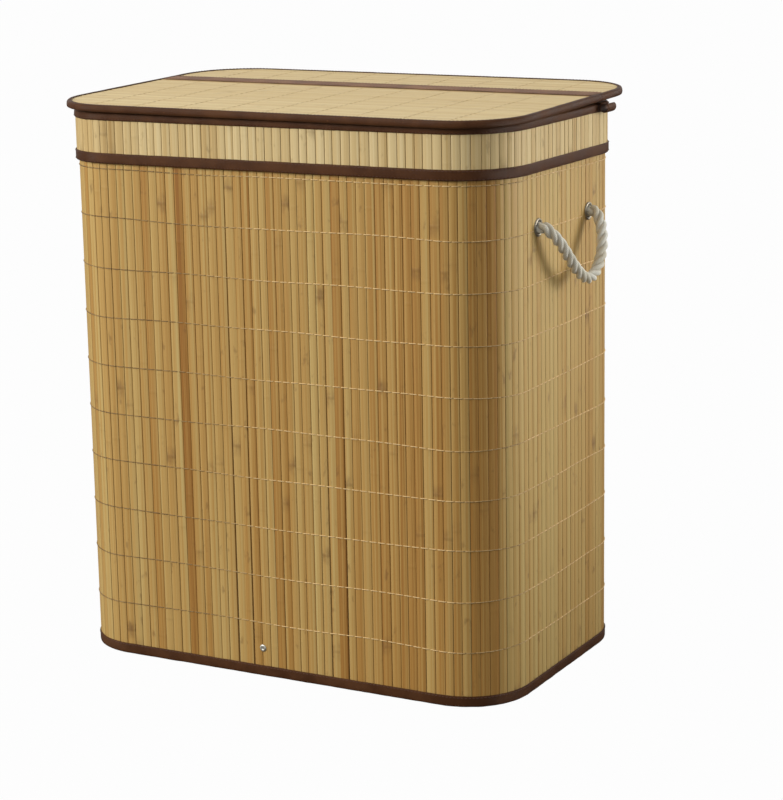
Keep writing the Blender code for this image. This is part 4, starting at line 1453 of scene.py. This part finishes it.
def make_loop(name):
    """A strip of tape: flat on the rim, then rolled round outside it, on the right end."""
    level = rim_high.z + CLEARANCE + LOOP_THICKNESS / 2
    y = HINGE_Y + LOOP_BACK - LOOP_LENGTH / 2
    edge_x = WALL_WIDTH / 2 + TAPE_OUT + CLEARANCE
    turn_from = math.radians(118)
    hub = Vector((WALL_WIDTH / 2 + TAPE_OUT + LOOP_RADIUS + LOOP_THICKNESS / 2 + CLEARANCE, y,
                  level - LOOP_RADIUS * math.sin(turn_from)))
    first = hub + LOOP_RADIUS * Vector((math.cos(turn_from), 0.0, math.sin(turn_from)))
    loop = draw_section(name, [(edge_x - LOOP_TAIL, y, level), (edge_x - LOOP_TAIL / 2, y, level), first])
    pick(loop, "VERT", lambda v: v.co.x > first.x - 1e-5)
    bpy.ops.mesh.spin(steps=14, angle=math.radians(300), center=hub, axis=(0.0, 1.0, 0.0))
    bpy.ops.mesh.select_all(action="SELECT")
    for _ in range(4):
        extrude((0.0, LOOP_LENGTH / 4, 0.0))
    close_up()
    return loop


def finish_loop(loop):
    finish_with(loop, "SOLIDIFY", thickness=LOOP_THICKNESS, offset=0.0, use_even_offset=True)
    round_off(loop)
    smooth(loop, 60)
    return loop


right_loop = finish_loop(make_loop("tape_loop_right"))
left_loop = copy_of(right_loop, Matrix.Scale(-1, 4, (1, 0, 0)))
left_loop.name = "tape_loop_left"
open_up(left_loop)
face_outwards()
close_up()
for side_name, loop in (("right", right_loop), ("left", left_loop)):
    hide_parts("lid_loop_" + side_name)
    wear(loop, tape)
    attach(loop, "hamper")
    report(loop)

# %% Metal rings
RING_BORE = 0.0065
RING_BARREL = 0.0071
RING_EDGE = 0.0095
RING_FACE = 0.0017
RING_BACK = 0.0003           # the lip's back stands this far off the wall
grommet_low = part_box("grommet_right_front")[0]


def turn_round(name, section, steps):
    """Spins a closed line of (along X, radius) points about the X axis."""
    points = [(along, 0.0, radius) for along, radius in section]
    piece = draw_section(name, points)
    bpy.ops.mesh.spin(steps=steps, angle=2 * math.pi, center=(0.0, 0.0, 0.0), axis=(1.0, 0.0, 0.0))
    face_outwards(weld=True)
    close_up()
    smooth(piece, 50)
    return piece


def ring_section():
    """Up the bore, over a half-round lip, back to the wall and down the outside of the barrel."""
    inner_end = grommet_low.x - WALL_HIGH.x
    middle = (RING_BORE + RING_EDGE) / 2
    reach = (RING_EDGE - RING_BORE) / 2
    lip = []
    for step in range(9):
        angle = math.pi * step / 8
        out = RING_BACK + (RING_FACE - RING_BACK) * math.sin(angle) ** 0.8
        lip.append((out, middle - reach * math.cos(angle)))
    barrel = [(RING_BACK, RING_BARREL), (inner_end, RING_BARREL), (inner_end, RING_BORE)]
    return [(inner_end, RING_BORE)] + lip + barrel


ring = turn_round("ring", ring_section(), 40)
for hole_name, place in HOLES.items():
    eyelet = copy_of(ring, place)
    eyelet.name = "ring_" + hole_name
    eyelet.data.name = eyelet.name
    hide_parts("grommet_" + hole_name)
    wear(eyelet, nickel)
    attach(eyelet, "hamper")
report(ring)
remove(ring)

# %% Rivet
rivet_low, rivet_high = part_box("rivet_front")
RIVET_RADIUS = 0.0040
RIVET_DEPTH = 0.0030         # from the wall's face to the head inside


def rivet_section():
    """From the middle of the hollow out over the rolled head, and back along the shank."""
    return [(0.0006, 0.0), (0.0005, 0.0009), (0.0009, 0.0013), (0.0013, 0.0020), (0.0012, 0.0029),
            (0.0008, 0.0037), (0.0003, RIVET_RADIUS), (0.0002, RIVET_RADIUS), (0.0002, 0.0013),
            (-RIVET_DEPTH, 0.0013), (-RIVET_DEPTH, RIVET_RADIUS), (-RIVET_DEPTH - 0.0008, 0.0036),
            (-RIVET_DEPTH - 0.0008, 0.0)]


rivet = turn_round("rivet", rivet_section(), 32)
rivet_middle = (rivet_low + rivet_high) / 2
rivet.data.transform(Matrix.Translation((rivet_middle.x, -WALL_DEPTH / 2, rivet_middle.z))
                     @ Matrix.Rotation(-math.pi / 2, 4, "Z"))
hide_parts("rivet_front")
wear(rivet, bright_nickel)
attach(rivet, "hamper")
report(rivet)

# %% [markdown]
# ## Stitches
# Each tape is sewn close to its free edge. A stitch is the same dash as the thread on the
# slats, only shorter, with its ends pulled into the cloth. Rows on the front panel of the lid
# go with that panel.

# %% Rows of stitches
STITCH_RADIUS = 0.00023
STITCH_LENGTH = 0.0027
STITCH_SPACING = 0.0040
SEAM = 0.0017                # from a tape's free edge to its stitches
FOLD_MARGIN = 0.002
FOLD_CLEAR = 0.003           # no stitches this close to the lid's fold


def sew(piece, body):
    """Gives a row of stitches its finish and its body."""
    wear(piece, stitching)
    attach(piece, body)
    report(piece)


stitch = make_dash("stitch", STITCH_LENGTH, STITCH_RADIUS, 0.0004)
WALL_SEAMS = (
    ("foot_stitches", FOOT_OUT, foot_high.z - SEAM),
    ("under_collar_stitches", TAPE_OUT, under_low.z + SEAM),
    ("over_collar_stitches", TAPE_OUT, under_high.z - SEAM),
    ("rim_stitches", TAPE_OUT, OUTER_LEG_LOW + SEAM),
)
for name, out, height in WALL_SEAMS:
    seam = dashes_round(stitch, name, WALL_WIDTH + 2 * out, WALL_DEPTH + 2 * out, CORNER_RADIUS + out,
                        height, STITCH_SPACING)
    stray(seam, 0.0005, height * 50)
    sew(seam, "hamper")


def off_panel(place, front):
    """True on the other panel, and beside the fold."""
    cut = HINGE_Y - LID_SHIFT
    return (place.y > cut - FOLD_MARGIN) == front or abs(place.y - cut) < FOLD_CLEAR


stitch.data.transform(Matrix.Rotation(-math.pi / 2, 4, "X"))
inset = LID_FLANGE - SEAM
for panel, body, is_front in LID_PANELS:
    seam = dashes_round(stitch, "lid_" + panel + "_stitches", LID_WIDTH - 2 * inset, LID_DEPTH - 2 * inset,
                        LID_RADIUS - inset, LID_TOP, STITCH_SPACING,
                        lambda place: off_panel(place, is_front))
    row = []
    across = HINGE_Y + (HINGE_TAPE_WIDTH / 2 - SEAM) * (-1 if is_front else 1)
    half = LID_WIDTH / 2 - LID_FLANGE - 0.002
    number = int(2 * half / STITCH_SPACING)
    for i in range(number + 1):
        place = (-half + 2 * half * i / number, across - LID_SHIFT, LID_TOP + 0.0001)
        row.append(copy_of(stitch, Matrix.Translation(place)))
    seam = join([seam] + row, seam.name)
    seam.data.transform(LID_PLACE @ Matrix.Translation((0.0, LID_SHIFT, 0.0)))
    sew(seam, body)
remove(stitch)

# %% [markdown]
# ## The liner bag
# Inside hangs a cotton bag with a hem round its mouth. Its shape is drawn as a ring carried
# down in levels and closed at the foot. It is cut a little larger than the hamper, so when
# its weight comes on, the spare cloth falls into folds. That part is left to the simulation.

# %% The bag before it hangs
liner_low, liner_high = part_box("liner_bag")
LINER_ROWS = 44
LINER_CORNER = 0.0600
LINER_SPACING = 0.011        # between points along its mouth
LINER_RINGS = 12             # on its floor
LINER_THICKNESS = 0.0007
# share of the way down, inset on the short sides, inset on the long sides, past the mouth's
LINER_LEVELS = [(0.0, 0.0, 0.0), (0.06, 0.003, 0.002), (0.12, 0.029, 0.004), (0.21, 0.030, 0.006),
                (0.40, 0.026, 0.010), (0.75, 0.024, 0.011), (0.95, 0.026, 0.014), (1.0, 0.034, 0.022)]


def liner_inset(share):
    """How far the bag's short and long sides stand in from its mouth at a share of its depth."""
    for (a, ax, ay), (b, bx, by) in zip(LINER_LEVELS, LINER_LEVELS[1:]):
        if share <= b:
            t = (share - a) / (b - a)
            t = t * t * (3 - 2 * t)
            return ax + (bx - ax) * t, ay + (by - ay) * t
    return LINER_LEVELS[-1][1:]


def scale_flat(x, y):
    """In edit mode, scales what is selected about the Z axis and keeps its height."""
    bpy.ops.transform.resize(value=(x, y, 1.0), center_override=(0.0, 0.0, 0.0),
                             constraint_axis=(True, True, False))


def draw_bag():
    """The bag as one skin, its mouth at the top."""
    width = liner_high.x - liner_low.x
    depth = liner_high.y - liner_low.y
    mouth = liner_high.z
    drop = mouth - liner_low.z - 0.0004
    start_x = -(width - 2 * LINER_CORNER) / 2
    lowest = mouth - drop / LINER_ROWS
    bag = draw_section("liner", [(start_x, -depth / 2, mouth), (start_x, -depth / 2, lowest)])
    carry_round(width, depth, LINER_CORNER, LINER_SPACING)
    pick(bag, "VERT", lambda v: v.co.z < lowest + 1e-5)
    before = liner_inset(1 / LINER_ROWS)
    for row in range(2, LINER_ROWS + 1):
        now = liner_inset(row / LINER_ROWS)
        extrude((0.0, 0.0, -drop / LINER_ROWS))
        scale_flat((width - 2 * now[0]) / (width - 2 * before[0]),
                   (depth - 2 * now[1]) / (depth - 2 * before[1]))
        before = now
    for step in range(LINER_RINGS, 0, -1):
        extrude((0.0, 0.0, 0.0))
        share = step / (step + 1)
        scale_flat(share, share)
    bpy.ops.mesh.merge(type="CENTER")
    face_outwards()
    close_up()
    return bag


bag = draw_bag()
report(bag)

# %% The bag hangs
LINER_SHRINK = -0.030        # below nothing, so the cloth grows by this share
LINER_FRAMES = 22
LINER_HELD = 0.015           # the mouth is held over this height
LINER_REACH = 0.016          # the furthest a point may move
KNOT_ROOM = 0.0015           # kept free round each knot
SIDE_STOP_INSET = 0.0052     # from the wall's outer face
SIDE_STOP_SPAN = (0.002, 0.57)
BASE_STOP_MIDDLE = 0.0115    # below the bag's foot
BASE_STOP_HEIGHT = 0.020
CLOTH_ROOM = 0.001           # between the cloth and what stops it


def block(stop, distance):
    """Makes the cloth keep this distance from a stop, which is there only while it falls."""
    stop.modifiers.new("stop", "COLLISION")
    stop.collision.thickness_outer = distance
    return stop


def add_side_stop():
    """A wall all the way round, just inside the slats."""
    low, high = SIDE_STOP_SPAN
    stop = tape_round("side_stop", [(-SIDE_STOP_INSET, low), (-SIDE_STOP_INSET, high)],
                      WALL_WIDTH, WALL_DEPTH, CORNER_RADIUS, 0.05)
    return block(stop, CLOTH_ROOM)


def add_base_stop():
    """A block in place of the base board."""
    stop = start("cube", "base_stop", size=1, location=(0.0, 0.0, liner_low.z - BASE_STOP_MIDDLE),
                 scale=(WALL_WIDTH, WALL_DEPTH, BASE_STOP_HEIGHT))
    return block(stop, CLOTH_ROOM / 2)


def add_knot_stops():
    """A ball round each knot, so the cloth drapes over the knots instead of through them."""
    stops = []
    size = (knot_high - knot_low) / 2 + Vector((KNOT_ROOM, KNOT_ROOM, KNOT_ROOM))
    middle = (knot_high + knot_low) / 2
    for end in (-1, 1):
        for along in (-1, 1):
            stop = start("uv_sphere", "knot_stop", segments=16, ring_count=10, radius=1,
                         location=(end * middle.x, along * HANDLE_REACH, HANDLE_HEIGHT), scale=size)
            stops.append(block(stop, CLOTH_ROOM))
    return stops


def hang(bag):
    """Lets the bag fall from its held mouth, and keeps the shape it comes to."""
    rest = np.array([v.co for v in bag.data.vertices])
    held = bag.vertex_groups.new(name="held")
    top = rest[:, 2].max()
    held.add([i for i, spot in enumerate(rest) if spot[2] > top - LINER_HELD], 1.0, "REPLACE")
    stops = add_knot_stops() + [add_side_stop(), add_base_stop()]
    fall = bag.modifiers.new("fall", "CLOTH")
    fall.settings.quality = 6
    fall.settings.mass = 0.15
    fall.settings.tension_stiffness = 12
    fall.settings.compression_stiffness = 12
    fall.settings.shear_stiffness = 6
    fall.settings.bending_stiffness = 0.08
    fall.settings.shrink_min = LINER_SHRINK
    fall.settings.vertex_group_mass = "held"
    fall.collision_settings.distance_min = CLOTH_ROOM
    fall.point_cache.frame_start = 1
    fall.point_cache.frame_end = LINER_FRAMES
    for number in range(1, LINER_FRAMES + 1):
        bpy.context.scene.frame_set(number)
    choose(bag)
    bpy.ops.object.modifier_apply(modifier=fall.name)
    bpy.context.scene.frame_set(1)
    for stop in stops:
        remove(stop)
    hung = np.array([v.co for v in bag.data.vertices])
    move = hung - rest
    far = np.linalg.norm(move, axis=1, keepdims=True)
    move *= np.minimum(1.0, LINER_REACH / np.maximum(far, 1e-9))
    bag.data.vertices.foreach_set("co", (rest + move).ravel())
    print("the bag's cloth moved up to", round(float(far.max()), 4), "m")


hang(bag)
bag.vertex_groups.clear()
round_off(bag)
finish_with(bag, "SOLIDIFY", thickness=LINER_THICKNESS, offset=1.0)
smooth(bag, 80)
wear(bag, liner_cotton)
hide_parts("liner_bag")
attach(bag, "hamper")

# %% Hem round the mouth
HEM_HEIGHT = 0.0150
HEM_THICKNESS = 0.0016
hem_out = -0.0010 - (WALL_WIDTH - (liner_high.x - liner_low.x)) / 2
hem_low = liner_high.z - HEM_HEIGHT
hem_section = [(hem_out, hem_low), (hem_out, hem_low + 0.007), (hem_out, liner_high.z - 0.0004)]
hem = tape_round("liner_hem", hem_section, WALL_WIDTH, WALL_DEPTH, CORNER_RADIUS, 0.008, HEM_THICKNESS)
pucker(hem, 0.010, 0.0006)
smooth(hem, 60)
wear(hem, liner_cotton)
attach(hem, "hamper")
report(bag)
report(hem)

# %% Floor
# A pale studio floor. The part of it that the lens sees is lifted towards white, as paper is
# under its own lamps, and the light it throws back on the hamper stays as it was.
FLOOR_LIFT = 0.98


def floor_finish():
    """A grey floor for the light, and a nearly white one for the lens."""
    finish = fibre_finish("floor", (0.13, 0.13, 0.127), (0.17, 0.17, 0.167), 30.0, 0.00001, 0.9)
    tree = finish.node_tree
    glow = tree.nodes.new("ShaderNodeEmission")
    both = tree.nodes.new("ShaderNodeMixShader")
    ray = tree.nodes.new("ShaderNodeLightPath")
    feed(tree, both.inputs[0], calc(tree, "MULTIPLY", ray.outputs["Is Camera Ray"], FLOOR_LIFT))
    feed(tree, both.inputs[1], tree.nodes["Principled BSDF"].outputs[0])
    feed(tree, both.inputs[2], glow.outputs[0])
    feed(tree, tree.nodes["Material Output"].inputs["Surface"], both.outputs[0])
    return finish


floor = start("plane", "floor", size=60)
wear(floor, floor_finish())
